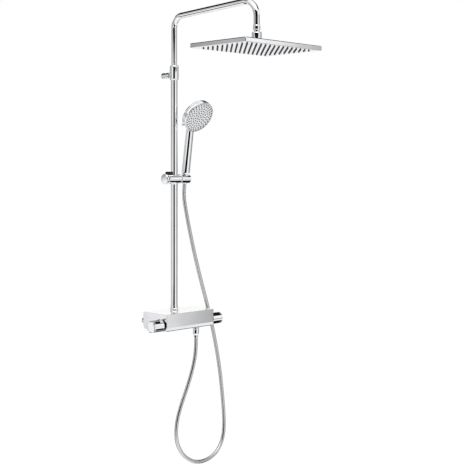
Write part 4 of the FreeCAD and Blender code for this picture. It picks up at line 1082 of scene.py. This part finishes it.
def spray_nozzles():
    """Rings of nozzles on the spray face: a ring of n nozzles at radius r, turned by a part step."""
    rings = ((8, 5, 0.0), (17, 10, 0.3), (26, 15, 0.1), (35, 20, 0.5), (43.5, 25, 0.2), (51, 29, 0.6))
    centres = []
    for radius, count, offset in rings:
        turn = (np.arange(count) + offset) * 2 * math.pi / count
        depth = 0.35 + 0.6 * (radius / 46) ** 2
        round_way = np.cos(turn)[:, None] * [1, 0, 0] + np.sin(turn)[:, None] * FACE_UP
        centres.append(FACE + FACE_BACK * depth + radius * round_way)
    return studs("spray_nozzles", np.vstack(centres) * MM, -FACE_BACK, [
        (2.4, -0.4), (2.4, 0.3), (1.9, 1.0), (1.0, 1.2), (0.7, 0.8),
    ], 10)


# ---------------------------------------------------------------- what stays from the frame


STAYING = {
    "brass": ("valve_body", "thermostat_cartridge", "diverter_cartridge", "foot_guide"),
    "rubber": ("filter_washers", "riser_seal", "guide_seals", "hose_washer"),
    "steel": (
        "casing_screws", "temperature_spindle", "flow_spindle", "temperature_knob_screw", "flow_knob_screw",
        "collar_set_screw", "button_spring", "holder_axle",
    ),
    "acetal": (
        "slider_liner", "stop_rings", "clamp_pad", "friction_washer", "collar_bush", "ball_seat_ring",
        "spray_core",
    ),
}


class SHOWER_OT_inner_parts(bpy.types.Operator):
    """Finishes of the inner parts, whose CAD shapes stay"""

    bl_idname = "shower.inner_parts"
    bl_label = "Inner parts"

    def execute(self, context):
        for finish, nodes in STAYING.items():
            for node in nodes:
                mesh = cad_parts[node].data
                mesh.materials.clear()
                mesh.materials.append(FINISHES[finish])
        return {"FINISHED"}


class SHOWER_PT_column(bpy.types.Panel):
    """Sizes and steps of the shower column"""

    bl_idname = "SHOWER_PT_column"
    bl_label = "Shower column"
    bl_space_type = "VIEW_3D"
    bl_region_type = "UI"
    bl_category = "Shower"

    def draw(self, context):
        for group in (context.scene.column_settings, context.scene.studio_settings):
            for name in group.__annotations__:
                self.layout.prop(group, name)
        for step in STEPS:
            self.layout.operator(step.bl_idname)


STEPS = (
    SHOWER_OT_stage, SHOWER_OT_hose, SHOWER_OT_mixer, SHOWER_OT_knobs, SHOWER_OT_riser, SHOWER_OT_arm,
    SHOWER_OT_rain_head, SHOWER_OT_slider, SHOWER_OT_hand_shower, SHOWER_OT_inner_parts,
)
CLASSES = (ColumnSettings, StudioSettings, *STEPS, SHOWER_PT_column)


def register():
    for each in CLASSES:
        bpy.utils.register_class(each)
    bpy.types.Scene.column_settings = PointerProperty(type=ColumnSettings)
    bpy.types.Scene.studio_settings = PointerProperty(type=StudioSettings)


def unregister():
    del bpy.types.Scene.column_settings
    del bpy.types.Scene.studio_settings
    for each in reversed(CLASSES):
        bpy.utils.unregister_class(each)


def main():
    register()
    FINISHES.update(make_finishes())
    for step in STEPS:
        group, name = step.bl_idname.split(".")
        getattr(getattr(bpy.ops, group), name)()


if __name__ == "__main__":
    main()
